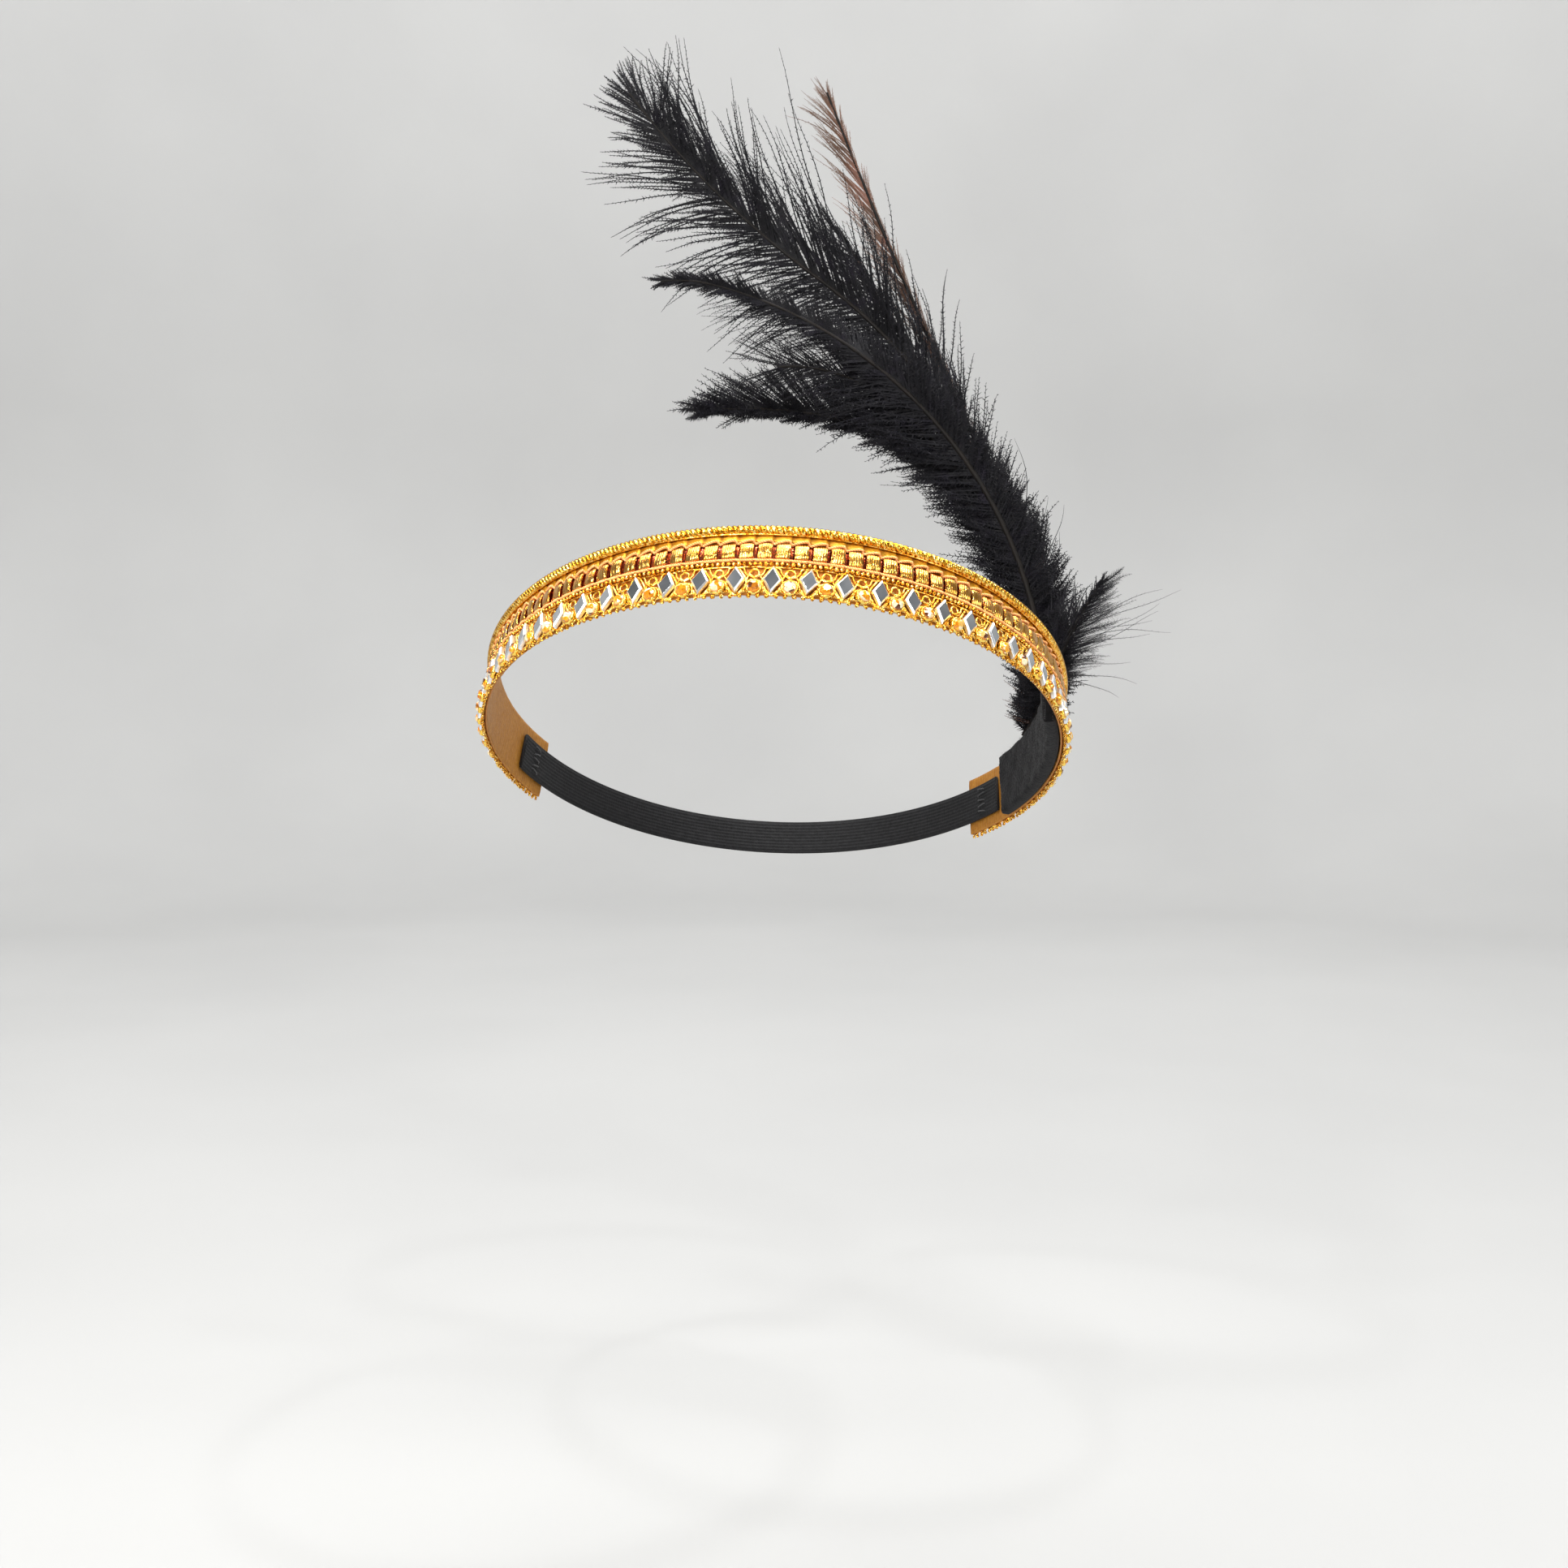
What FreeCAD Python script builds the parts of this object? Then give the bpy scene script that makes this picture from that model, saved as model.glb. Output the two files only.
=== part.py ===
import FreeCAD, Part
import math
import os

import Sketcher
from FreeCAD import Placement, Rotation, Vector

# A 1920s style fascinator headpiece: a gold braid headband worn low across the forehead, closed by
# elastic at the back of the head, with a spray of seven dark feathers held inside the band above the
# wearer's left ear. Millimetres. The origin is the centre of the loop, where the head goes.
# The forehead faces -Y, the wearer's left is +X and up is +Z.
#
# "Across" sizes run up the band from the middle of its height, "outward" sizes run away from the head
# from the inner face of the base ribbon, and "along" angles are ellipse parameters that start at the
# forehead and grow towards the wearer's left.

DIMENSIONS = [
    # the loop
    ("half_width", 74.0),
    ("half_depth", 91.5),
    ("cone_angle", 4.0),
    ("forward_lift", 24.0),
    ("side_drop", 5.3),
    ("reach", 300.0),
    # the base ribbon and the braid that is sewn on it
    ("trim_end_angle", 122.0),
    ("ribbon_half_height", 9.0),
    ("ribbon_top", 8.5),
    ("ribbon_thickness", 0.8),
    ("edge_cord_centre", 7.5),
    ("edge_cord_radius", 1.05),
    ("channel_bottom", 5.0),
    ("channel_top", 6.4),
    ("channel_thickness", 0.8),
    ("upper_thread_bottom", 4.25),
    ("wave_thread_thickness", 1.1),
    ("pleat_bottom", 0.4),
    ("pleat_top", 4.2),
    ("pleat_thickness", 1.6),
    ("lower_thread_bottom", -0.3),
    ("lower_thread_top", 0.35),
    ("bead_cord_centre", -0.85),
    ("bead_cord_radius", 0.5),
    ("gimp_bottom", -8.1),
    ("gimp_top", -1.4),
    ("gimp_thickness", 0.5),
    ("picot_thickness", 0.5),
    # the stones
    ("stone_pitch", 7.65),
    ("stone_end_margin", 2.0),
    ("diamond_width", 4.0),
    ("diamond_height", 6.4),
    ("diamond_girdle", 0.9),
    ("diamond_crown", 0.6),
    ("diamond_bevel", 38.0),
    ("diamond_centre", -5.15),
    ("round_radius", 1.4),
    ("round_table", 0.75),
    ("round_girdle", 0.8),
    ("round_crown", 1.0),
    ("round_centre", -6.85),
    ("cup_radius", 1.7),
    ("cup_height", 0.9),
    ("fitting_gap", 0.04),
    ("seat_gap", 0.1),
    # the elastic
    ("elastic_start_angle", 112.0),
    ("elastic_half_height", 5.0),
    ("elastic_thickness", 1.2),
    ("stitch_length", 3.2),
    ("stitch_width", 0.5),
    ("stitch_thickness", 0.4),
    ("stitch_count", 5.0),
    # the felt pad and the whipped quill ends behind the ribbon
    ("pad_start_angle", 64.0),
    ("pad_end_angle", 108.0),
    ("pad_half_height", 8.5),
    ("pad_thickness", 3.5),
    ("pocket_start_angle", 75.0),
    ("pocket_end_angle", 105.0),
    ("pocket_bottom", -7.0),
    ("pocket_top", 9.5),
    ("pocket_depth", 2.4),
    ("binding_radius", 1.05),
    ("binding_length", 14.0),
    ("binding_outward", -1.2),
    # the feathers
    ("pivot_across", 9.9),
    ("binding_gap", 1.0),
    ("first_feather_angle", 81.0),
    ("feather_angle_step", 3.0),
    ("quill_root_radius", 0.9),
    ("quill_tip_radius", 0.3),
    ("vane_thickness", 1.2),
    ("vane_gap", 0.1),
    ("vane_least_width", 0.4),
    ("vane_fullness", 0.8),
    ("vane_start_share", 0.04),
    ("vane_stations", 24.0),
]

# Each feather stands in its own upright plane and its quill is two arcs that meet smoothly. A lean is
# the quill's angle from upright, positive over the crown. The inner web is on the head's side.
FEATHER_SIZES = (
    "root_lean", "bend_lean", "tip_lean", "lower_length", "upper_length",
    "bare_length", "overhang", "inner_web", "outer_web", "widest_at",
)
FEATHERS = [
    ("side_marabou", (-12.0, -30.0, -34.0, 22.0, 12.0, 7.0, 6.0, 11.0, 15.0, 0.5)),
    ("short_hackle", (2.0, 76.0, 98.0, 150.0, 14.0, 22.0, 3.0, 6.0, 5.0, 0.55)),
    ("ragged_plume", (0.0, 57.0, 96.0, 100.0, 27.0, 20.0, 6.0, 13.0, 8.0, 0.62)),
    ("ostrich_plume", (0.0, 55.0, 38.0, 137.0, 68.0, 20.0, 16.0, 27.0, 23.0, 0.74)),
    ("low_plume", (-10.0, 78.0, 98.0, 110.0, 36.0, 24.0, 4.0, 4.0, 13.0, 0.55)),
    ("bronze_feather", (-22.0, 27.0, 22.0, 54.0, 131.0, 24.0, 4.0, 13.0, 3.0, 0.72)),
    ("back_hackle", (-25.0, 34.0, 30.0, 66.0, 88.0, 24.0, 6.0, 14.0, 6.0, 0.6)),
]

doc = FreeCAD.newDocument("fascinator_headpiece")
sheet = doc.addObject("Spreadsheet::Sheet", "Sheet")
finished = []


def fill_sheet():
    rows = list(DIMENSIONS)
    for feather, sizes in FEATHERS:
        rows += [(f"{feather}_{size}", value) for size, value in zip(FEATHER_SIZES, sizes)]
    for row, (alias, value) in enumerate(rows, start=1):
        sheet.set(f"A{row}", alias)
        sheet.set(f"B{row}", str(value))
        sheet.setAlias(f"B{row}", alias)
    doc.recompute()


def dim(alias):
    return float(sheet.get(alias))


def finish(obj, label):
    """Names a finished sub-part and keeps it for the export."""
    obj.Label = label
    finished.append(obj)
    return obj


# ---------------------------------------------------------------- the loop


def band_placement():
    """The loop is built flat, then lifted at the forehead and dropped at the wearer's left."""
    lift = Rotation(Vector(1, 0, 0), -dim("forward_lift"))
    drop = Rotation(Vector(0, 1, 0), dim("side_drop"))
    return Placement(Vector(0, 0, 0), drop.multiply(lift))


def loop_frame(along, outward, across):
    """A point on the flat loop and the directions along it and out of it."""
    angle = math.radians(along)
    wide, deep = dim("half_width"), dim("half_depth")
    out = Vector(math.sin(angle) / wide, -math.cos(angle) / deep, 0).normalize()
    forward = Vector(-out.y, out.x, 0)
    reach = outward - across * math.tan(math.radians(dim("cone_angle")))
    point = Vector(wide * math.sin(angle), -deep * math.cos(angle), across) + out * reach
    return point, forward, out


def on_band(along, outward, across):
    """A placement on the tilted band: X along it, Y up across it and Z out of it."""
    point, forward, out = loop_frame(along, outward, across)
    cone = math.radians(dim("cone_angle"))
    up = Vector(0, 0, math.cos(cone)) - out * math.sin(cone)
    turn = Rotation(forward, up, out, "XYZ")
    return band_placement().multiply(Placement(point, turn))


def ellipse(name, outward, across):
    """One level line of the band's cone, its sizes bound to the sheet."""
    line = doc.addObject("Part::Ellipse", name)
    slope = f"({across}) * tan(Sheet.cone_angle * 1 deg)"
    line.setExpression("MajorRadius", f"Sheet.half_depth + ({outward}) - {slope}")
    line.setExpression("MinorRadius", f"Sheet.half_width + ({outward}) - {slope}")
    line.setExpression("Placement.Base.z", f"{across}")
    line.Placement.Rotation = Rotation(Vector(0, 0, 1), 90)
    return line


def cone_solid(name, outward, bottom, top):
    """The solid inside one face of the band, from its bottom line to its top line."""
    solid = doc.addObject("Part::Loft", name)
    solid.Sections = [
        ellipse(f"{name}_bottom", outward, bottom),
        ellipse(f"{name}_top", outward, top),
    ]
    solid.Solid = True
    solid.Ruled = True
    return solid


def azimuth(along):
    """The compass angle, from +X, of the loop's point at an ellipse parameter."""
    angle = math.radians(along)
    sideways = dim("half_width") * math.sin(angle)
    backward = -dim("half_depth") * math.cos(angle)
    return math.degrees(math.atan2(backward, sideways))


def strip(label, inner, outer, bottom, top, start, end):
    """A ribbon that follows the band: between two faces, two edges and two ends."""
    ring = doc.addObject("Part::Cut", f"{label}_ring")
    ring.Base = cone_solid(f"{label}_outer", outer, bottom, top)
    ring.Tool = cone_solid(f"{label}_inner", inner, bottom, top)
    sector = doc.addObject("Part::Cylinder", f"{label}_sector")
    sector.setExpression("Radius", "Sheet.reach")
    sector.setExpression("Height", "Sheet.reach")
    sweep = (azimuth(end) - azimuth(start)) % 360
    sector.Angle = sweep
    half_height = dim("reach") / 2
    sector.Placement = Placement(Vector(0, 0, -half_height), Rotation(Vector(0, 0, 1), azimuth(start)))
    piece = doc.addObject("Part::Common", label)
    piece.Base = ring
    piece.Tool = sector
    piece.Placement = band_placement()
    return piece


def round_cord(label, outward, across, radius):
    """A cord that follows the braid's whole length."""
    end = dim("trim_end_angle")
    spine = ellipse(f"{label}_spine", outward, across)
    # the arc runs from one trim end through the forehead to the other
    spine.Angle1 = 180 - end
    spine.Angle2 = 180 + end
    section = doc.addObject("Part::Circle", f"{label}_section")
    section.setExpression("Radius", radius)
    doc.recompute()
    edge = spine.Shape.Edges[0]
    first = edge.FirstParameter
    section.Placement = Placement(edge.valueAt(first), Rotation(Vector(0, 0, 1), edge.tangentAt(first)))
    cord = doc.addObject("Part::Sweep", label)
    cord.Sections = [section]
    cord.Spine = (spine, ["Edge1"])
    cord.Solid = True
    cord.Placement = band_placement()
    return cord


# ---------------------------------------------------------------- the braid


def make_braid():
    end = dim("trim_end_angle")
    face = "Sheet.ribbon_thickness"
    base = strip("base_ribbon", "0", face, "-Sheet.ribbon_half_height", "Sheet.ribbon_top", -end, end)
    finish(base, "base_ribbon")
    rows = [
        ("channel_ribbon", "Sheet.channel_thickness", "Sheet.channel_bottom", "Sheet.channel_top"),
        ("upper_wave_thread", "Sheet.wave_thread_thickness", "Sheet.upper_thread_bottom",
         "Sheet.channel_bottom - Sheet.fitting_gap"),
        ("pleated_ribbon", "Sheet.pleat_thickness", "Sheet.pleat_bottom", "Sheet.pleat_top"),
        ("lower_wave_thread", "Sheet.wave_thread_thickness", "Sheet.lower_thread_bottom",
         "Sheet.lower_thread_top"),
        ("scroll_gimp", "Sheet.gimp_thickness", "Sheet.gimp_bottom", "Sheet.gimp_top"),
        ("lower_picot_edge", "Sheet.picot_thickness", "-Sheet.ribbon_half_height",
         "Sheet.gimp_bottom - Sheet.fitting_gap"),
    ]
    inner = f"{face} + Sheet.fitting_gap"
    for label, thickness, bottom, top in rows:
        row = strip(label, inner, f"{inner} + {thickness}", bottom, top, -end, end)
        finish(row, label)
    for label, centre, radius in (
        ("top_edge_cord", "Sheet.edge_cord_centre", "Sheet.edge_cord_radius"),
        ("bead_cord", "Sheet.bead_cord_centre", "Sheet.bead_cord_radius"),
    ):
        cord = round_cord(label, f"{inner} + {radius} + Sheet.fitting_gap", centre, radius)
        finish(cord, label)


# ---------------------------------------------------------------- the stones


def box_sketch(body, name, points):
    """A closed outline of straight sides on the body's own XY plane."""
    sketch = body.newObject("Sketcher::SketchObject", name)
    plane = [f for f in body.Origin.OriginFeatures if f.Role == "XY_Plane"][0]
    sketch.AttachmentSupport = [(plane, "")]
    sketch.MapMode = "FlatFace"
    for first, second in zip(points, points[1:] + points[:1]):
        sketch.addGeometry(Part.LineSegment(Vector(*first, 0), Vector(*second, 0)), False)
    return sketch


def diamond_body():
    """One rhombus mirror stone: a straight girdle under a crown with four bevels and a flat table."""
    body = doc.addObject("PartDesign::Body", "diamond_stone")
    wide, tall = dim("diamond_width") / 2, dim("diamond_height") / 2
    corners = [(wide, 0.0), (0.0, tall), (-wide, 0.0), (0.0, -tall)]
    pads = []
    for name in ("diamond_girdle", "diamond_crown"):
        sketch = box_sketch(body, f"{name}_outline", corners)
        for side in range(4):
            sketch.addConstraint(Sketcher.Constraint("Coincident", side, 2, (side + 1) % 4, 1))
        for side, axis in ((0, -1), (1, -2)):
            sketch.addConstraint(Sketcher.Constraint("PointOnObject", side, 1, axis))
        sketch.addConstraint(Sketcher.Constraint("Symmetric", 0, 1, 2, 1, -1, 1))
        sketch.addConstraint(Sketcher.Constraint("Symmetric", 1, 1, 3, 1, -1, 1))
        across = sketch.addConstraint(Sketcher.Constraint("DistanceX", 2, 1, 0, 1, 2 * wide))
        sketch.renameConstraint(across, "stone_width")
        sketch.setExpression("Constraints.stone_width", "Sheet.diamond_width")
        upward = sketch.addConstraint(Sketcher.Constraint("DistanceY", 3, 1, 1, 1, 2 * tall))
        sketch.renameConstraint(upward, "stone_height")
        sketch.setExpression("Constraints.stone_height", "Sheet.diamond_height")
        pads.append(sketch)
    girdle = body.newObject("PartDesign::Pad", "diamond_girdle")
    girdle.Profile = pads[0]
    girdle.setExpression("Length", "Sheet.diamond_girdle")
    pads[1].setExpression("AttachmentOffset.Base.z", "Sheet.diamond_girdle")
    crown = body.newObject("PartDesign::Pad", "diamond_crown")
    crown.Profile = pads[1]
    crown.setExpression("Length", "Sheet.diamond_crown")
    crown.setExpression("TaperAngle", "-Sheet.diamond_bevel")
    return body


def turned_body(name, outline):
    """A body turned about its Z axis from an outline of (radius, height) points."""
    body = doc.addObject("PartDesign::Body", name)
    sketch = body.newObject("Sketcher::SketchObject", f"{name}_outline")
    plane = [f for f in body.Origin.OriginFeatures if f.Role == "XZ_Plane"][0]
    sketch.AttachmentSupport = [(plane, "")]
    sketch.MapMode = "FlatFace"
    for first, second in zip(outline, outline[1:] + outline[:1]):
        sketch.addGeometry(Part.LineSegment(Vector(*first, 0), Vector(*second, 0)), False)
    turn = body.newObject("PartDesign::Revolution", f"{name}_turn")
    turn.Profile = sketch
    turn.ReferenceAxis = (sketch, ["V_Axis"])
    turn.Angle = 360
    return body


def round_body():
    """One round stone: a low girdle, then a crown that narrows to a small table."""
    radius, table = dim("round_radius"), dim("round_table")
    girdle, top = dim("round_girdle"), dim("round_girdle") + dim("round_crown")
    return turned_body("round_stone", [(0, 0), (radius, 0), (radius, girdle), (table, top), (0, top)])


def cup_body():
    """The foil ring that a round stone sits in."""
    inside, outside = dim("round_radius") + dim("fitting_gap"), dim("cup_radius")
    height = dim("cup_height")
    return turned_body("foil_cup", [(inside, 0), (outside, 0), (outside, height), (inside, height)])


def arc_length_angles(pitch, end):
    """Ellipse parameters of points spaced evenly along the loop, from the forehead to an end."""
    step = 0.05
    wide, deep = dim("half_width"), dim("half_depth")
    angles, travelled, angle = [], 0.0, 0.0
    while angle < end:
        if travelled >= pitch * len(angles):
            angles.append(angle)
        turn = math.radians(angle)
        travelled += math.radians(step) * math.hypot(wide * math.cos(turn), deep * math.sin(turn))
        angle += step
    return angles


def group(label, template, places):
    """Separate copies of one body in one node, each at its own place."""
    node = doc.addObject("Part::Feature", label)
    solids = []
    for place in places:
        solid = template.Shape.Solids[0].copy()
        solid.Placement = place.multiply(solid.Placement)
        solids.append(solid)
    node.Shape = Part.Compound(solids)
    node.Placement = Placement()
    return finish(node, label)


def make_stones():
    seat = dim("ribbon_thickness") + dim("gimp_thickness") + dim("seat_gap")
    half_pitch = dim("stone_pitch") / 2
    half_row = arc_length_angles(half_pitch, dim("trim_end_angle") - dim("stone_end_margin"))
    stations = sorted({-a for a in half_row} | set(half_row))
    middle = len(stations) // 2
    diamonds = [a for i, a in enumerate(stations) if (i - middle) % 2 == 0]
    rounds = [a for i, a in enumerate(stations) if (i - middle) % 2 == 1]
    diamond, stone, cup = diamond_body(), round_body(), cup_body()
    doc.recompute()
    group("mirror_diamonds", diamond, [on_band(a, seat, dim("diamond_centre")) for a in diamonds])
    group("round_stones", stone, [on_band(a, seat, dim("round_centre")) for a in rounds])
    group("foil_cups", cup, [on_band(a, seat, dim("round_centre")) for a in rounds])


# ---------------------------------------------------------------- the elastic


def make_elastic():
    start = dim("elastic_start_angle")
    outer = "-Sheet.fitting_gap"
    elastic = strip(
        "elastic_back", f"{outer} - Sheet.elastic_thickness", outer,
        "-Sheet.elastic_half_height", "Sheet.elastic_half_height", start, 360 - start,
    )
    finish(elastic, "elastic_back")
    stitch = doc.addObject("Part::Box", "elastic_stitch")
    stitch.setExpression("Length", "Sheet.stitch_length")
    stitch.setExpression("Width", "Sheet.stitch_width")
    stitch.setExpression("Height", "Sheet.stitch_thickness")
    doc.recompute()
    inside = -dim("elastic_thickness") - dim("stitch_thickness") - 3 * dim("fitting_gap")
    seam = (start + dim("trim_end_angle")) / 2
    count = int(dim("stitch_count"))
    spacing = 2 * dim("elastic_half_height") / (count + 1)
    heights = [spacing * (i + 1) - dim("elastic_half_height") for i in range(count)]
    centred = Placement(Vector(-dim("stitch_length") / 2, -dim("stitch_width") / 2, 0), Rotation())
    for label, side in (("elastic_stitches_left", 1), ("elastic_stitches_right", -1)):
        group(label, stitch, [on_band(side * seam, inside, up).multiply(centred) for up in heights])


# ---------------------------------------------------------------- the felt pad and the bindings


def feather_root(index):
    """Where a feather leaves the band, its pivot, in the headpiece's frame."""
    along = dim("first_feather_angle") + index * dim("feather_angle_step")
    return on_band(along, dim("binding_outward"), dim("pivot_across")).Base


def make_pad():
    outer = "-Sheet.fitting_gap"
    pad = strip(
        "felt_pad_blank", "-Sheet.pad_thickness", outer, "-Sheet.pad_half_height", "Sheet.pad_half_height",
        dim("pad_start_angle"), dim("pad_end_angle"),
    )
    pocket = strip(
        "felt_pad_pocket", "-Sheet.pocket_depth", "Sheet.ribbon_thickness", "Sheet.pocket_bottom",
        "Sheet.pocket_top", dim("pocket_start_angle"), dim("pocket_end_angle"),
    )
    cut = doc.addObject("Part::Cut", "felt_backing_pad")
    cut.Base = pad
    cut.Tool = pocket
    finish(cut, "felt_backing_pad")


def make_bindings():
    """The thread whipping round each quill's end, in the pocket between ribbon and pad."""
    binding = doc.addObject("Part::Cylinder", "quill_binding")
    binding.setExpression("Radius", "Sheet.binding_radius")
    binding.setExpression("Height", "Sheet.binding_length")
    doc.recompute()
    foot = dim("pivot_across") - dim("binding_gap") - dim("binding_length")
    stand_up = Placement(Vector(0, 0, 0), Rotation(Vector(1, 0, 0), -90))
    places = []
    for index in range(len(FEATHERS)):
        along = dim("first_feather_angle") + index * dim("feather_angle_step")
        places.append(on_band(along, dim("binding_outward"), foot).multiply(stand_up))
    group("quill_bindings", binding, places)


# ---------------------------------------------------------------- the feathers


class Feather:
    """The line of one feather's quill and the widths of its webs."""

    def __init__(self, index, name):
        self.name = name
        self.root = feather_root(index)
        for size in FEATHER_SIZES:
            setattr(self, size, dim(f"{name}_{size}"))
        self.quill_length = self.lower_length + self.upper_length
        self.vane_end = self.quill_length + self.overhang

    def arc_points(self, start, lean, new_lean, length):
        """Start, middle and end of an arc that turns from one lean to another."""
        points = [start]
        for share in (0.5, 1.0):
            turned = lean + (new_lean - lean) * share
            middle = math.radians((lean + turned) / 2)
            half_turn = math.radians((turned - lean) / 2)
            chord = length * share * math.sin(half_turn) / half_turn
            points.append(start + Vector(-math.sin(middle), 0, math.cos(middle)) * chord)
        return points

    def line(self):
        """The quill's centreline as two arcs."""
        lower = self.arc_points(self.root, self.root_lean, self.bend_lean, self.lower_length)
        upper = self.arc_points(lower[-1], self.bend_lean, self.tip_lean, self.upper_length)
        return [Part.Arc(*lower), Part.Arc(*upper)]

    def at(self, travelled):
        """The centreline's point and lean at a distance from the root; straight past the quill's tip."""
        if travelled <= self.lower_length:
            share = travelled / self.lower_length
            start, lean, new_lean, length = self.root, self.root_lean, self.bend_lean, self.lower_length
        else:
            share = min(1.0, (travelled - self.lower_length) / self.upper_length)
            start = self.arc_points(self.root, self.root_lean, self.bend_lean, self.lower_length)[-1]
            lean, new_lean, length = self.bend_lean, self.tip_lean, self.upper_length
        here = lean + (new_lean - lean) * share
        point = start
        if share > 0:
            point = self.arc_points(start, lean, here, length * share)[-1]
        past = max(0.0, travelled - self.quill_length)
        angle = math.radians(here)
        return point + Vector(-math.sin(angle), 0, math.cos(angle)) * past, here

    def quill_radius(self, travelled):
        share = min(1.0, travelled / self.quill_length)
        root, tip = dim("quill_root_radius"), dim("quill_tip_radius")
        return root + (tip - root) * share

    def web_width(self, share, widest):
        """How far a web reaches from the centreline, at a share of the vane's length."""
        peak = math.log(0.5) / math.log(self.widest_at)
        return widest * math.sin(math.pi * share ** peak) ** dim("vane_fullness")

    def web(self, side, widest):
        """One flat web beside the quill: side is 1 on the outer side and -1 on the head's side."""
        inner, outer = [], []
        stations = int(dim("vane_stations"))
        start_share = dim("vane_start_share")
        for i in range(stations + 1):
            share = start_share + (1 - start_share) * i / stations
            travelled = self.bare_length + (self.vane_end - self.bare_length) * i / stations
            point, lean = self.at(travelled)
            angle = math.radians(lean)
            sideways = Vector(math.cos(angle), 0, math.sin(angle)) * side
            near = self.quill_radius(travelled) + dim("vane_gap")
            reach = 0.0 if i == stations else self.web_width(share, widest)
            inner.append(point + sideways * near)
            outer.append(point + sideways * (near + max(reach, dim("vane_least_width"))))
        edges = []
        for points in (inner, outer):
            curve = Part.BSplineCurve()
            curve.interpolate(points)
            edges.append(curve.toShape())
        ends = [Part.makeLine(inner[0], outer[0]), Part.makeLine(inner[-1], outer[-1])]
        outline = Part.Wire(Part.__sortEdges__(edges + ends))
        thickness = dim("vane_thickness")
        face = Part.Face(outline)
        face.translate(Vector(0, -thickness / 2, 0))
        return face.extrude(Vector(0, thickness, 0))

    def quill_shape(self):
        arcs = self.line()
        spine = Part.Wire([arc.toShape() for arc in arcs])
        sections = []
        for travelled in (0.0, self.quill_length):
            point, lean = self.at(travelled)
            angle = math.radians(lean)
            along = Vector(-math.sin(angle), 0, math.cos(angle))
            circle = Part.Circle(point, along, self.quill_radius(travelled))
            sections.append(Part.Wire([circle.toShape()]))
        return spine.makePipeShell(sections, True, False)

    def vane_shape(self):
        return Part.Compound([self.web(1, self.outer_web), self.web(-1, self.inner_web)])


def make_feathers():
    for index, (name, _) in enumerate(FEATHERS):
        feather = Feather(index, name)
        for part_name, shape in (("quill", feather.quill_shape()), ("vane", feather.vane_shape())):
            label = f"{name}_{part_name}"
            piece = doc.addObject("Part::Feature", label)
            piece.Shape = shape
            piece.Placement = Placement()
            finish(piece, label)


# ---------------------------------------------------------------- build, check and write


def check():
    for obj in doc.Objects:
        wrong = [state for state in obj.State if state in ("Invalid", "Error")]
        if wrong:
            raise RuntimeError(f"{obj.Name} is {wrong}")
    for obj in finished:
        if obj.Shape.isNull() or not obj.Shape.isValid():
            raise RuntimeError(f"{obj.Label} has no valid shape")
        solids = obj.Shape.Solids
        if not solids or min(solid.Volume for solid in solids) <= 0:
            raise RuntimeError(f"{obj.Label} has no solid, or one with no volume")


def write():
    os.makedirs("parts", exist_ok=True)
    for obj in finished:
        obj.Shape.exportStep(f"parts/{obj.Label}.step")
        box = obj.Shape.BoundBox
        print(f"{obj.Label}: {len(obj.Shape.Solids)} solids, {obj.Shape.Volume:.0f} mm3, "
              f"x {box.XMin:.1f} {box.XMax:.1f} y {box.YMin:.1f} {box.YMax:.1f} z {box.ZMin:.1f} {box.ZMax:.1f}")


fill_sheet()
make_braid()
make_stones()
make_elastic()
make_pad()
make_bindings()
make_feathers()
doc.recompute()
check()
write()
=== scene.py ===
import math

import bpy
import numpy as np
from mathutils import Matrix, Vector


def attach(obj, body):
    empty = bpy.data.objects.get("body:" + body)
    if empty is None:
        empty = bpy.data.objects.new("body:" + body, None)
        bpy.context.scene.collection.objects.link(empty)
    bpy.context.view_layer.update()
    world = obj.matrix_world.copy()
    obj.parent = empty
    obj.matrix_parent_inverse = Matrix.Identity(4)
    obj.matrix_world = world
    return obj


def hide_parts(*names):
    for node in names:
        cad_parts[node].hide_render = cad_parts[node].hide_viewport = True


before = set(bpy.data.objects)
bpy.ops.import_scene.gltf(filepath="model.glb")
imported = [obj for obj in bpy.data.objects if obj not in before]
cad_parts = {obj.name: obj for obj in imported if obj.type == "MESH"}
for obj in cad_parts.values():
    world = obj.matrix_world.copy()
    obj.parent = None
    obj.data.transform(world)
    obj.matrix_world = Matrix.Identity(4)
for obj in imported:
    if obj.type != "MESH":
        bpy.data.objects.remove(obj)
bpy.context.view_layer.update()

scene = bpy.context.scene
MM = 0.001

# ---------------------------------------------------------------- camera

CAMERA_PLACE = (-0.0242, -0.4546, 0.0126)
CAMERA_TURN = (86.49, 0.0, -3.42)
CAMERA_LENS = 39.13

camera = bpy.data.objects.new("camera", bpy.data.cameras.new("camera"))
camera.location = CAMERA_PLACE
camera.rotation_euler = [math.radians(a) for a in CAMERA_TURN]
camera.data.lens = CAMERA_LENS
camera.data.sensor_width = 36.0
camera.data.clip_start = 0.01
scene.collection.objects.link(camera)
scene.camera = camera

# ---------------------------------------------------------------- the loop, in millimetres

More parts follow.
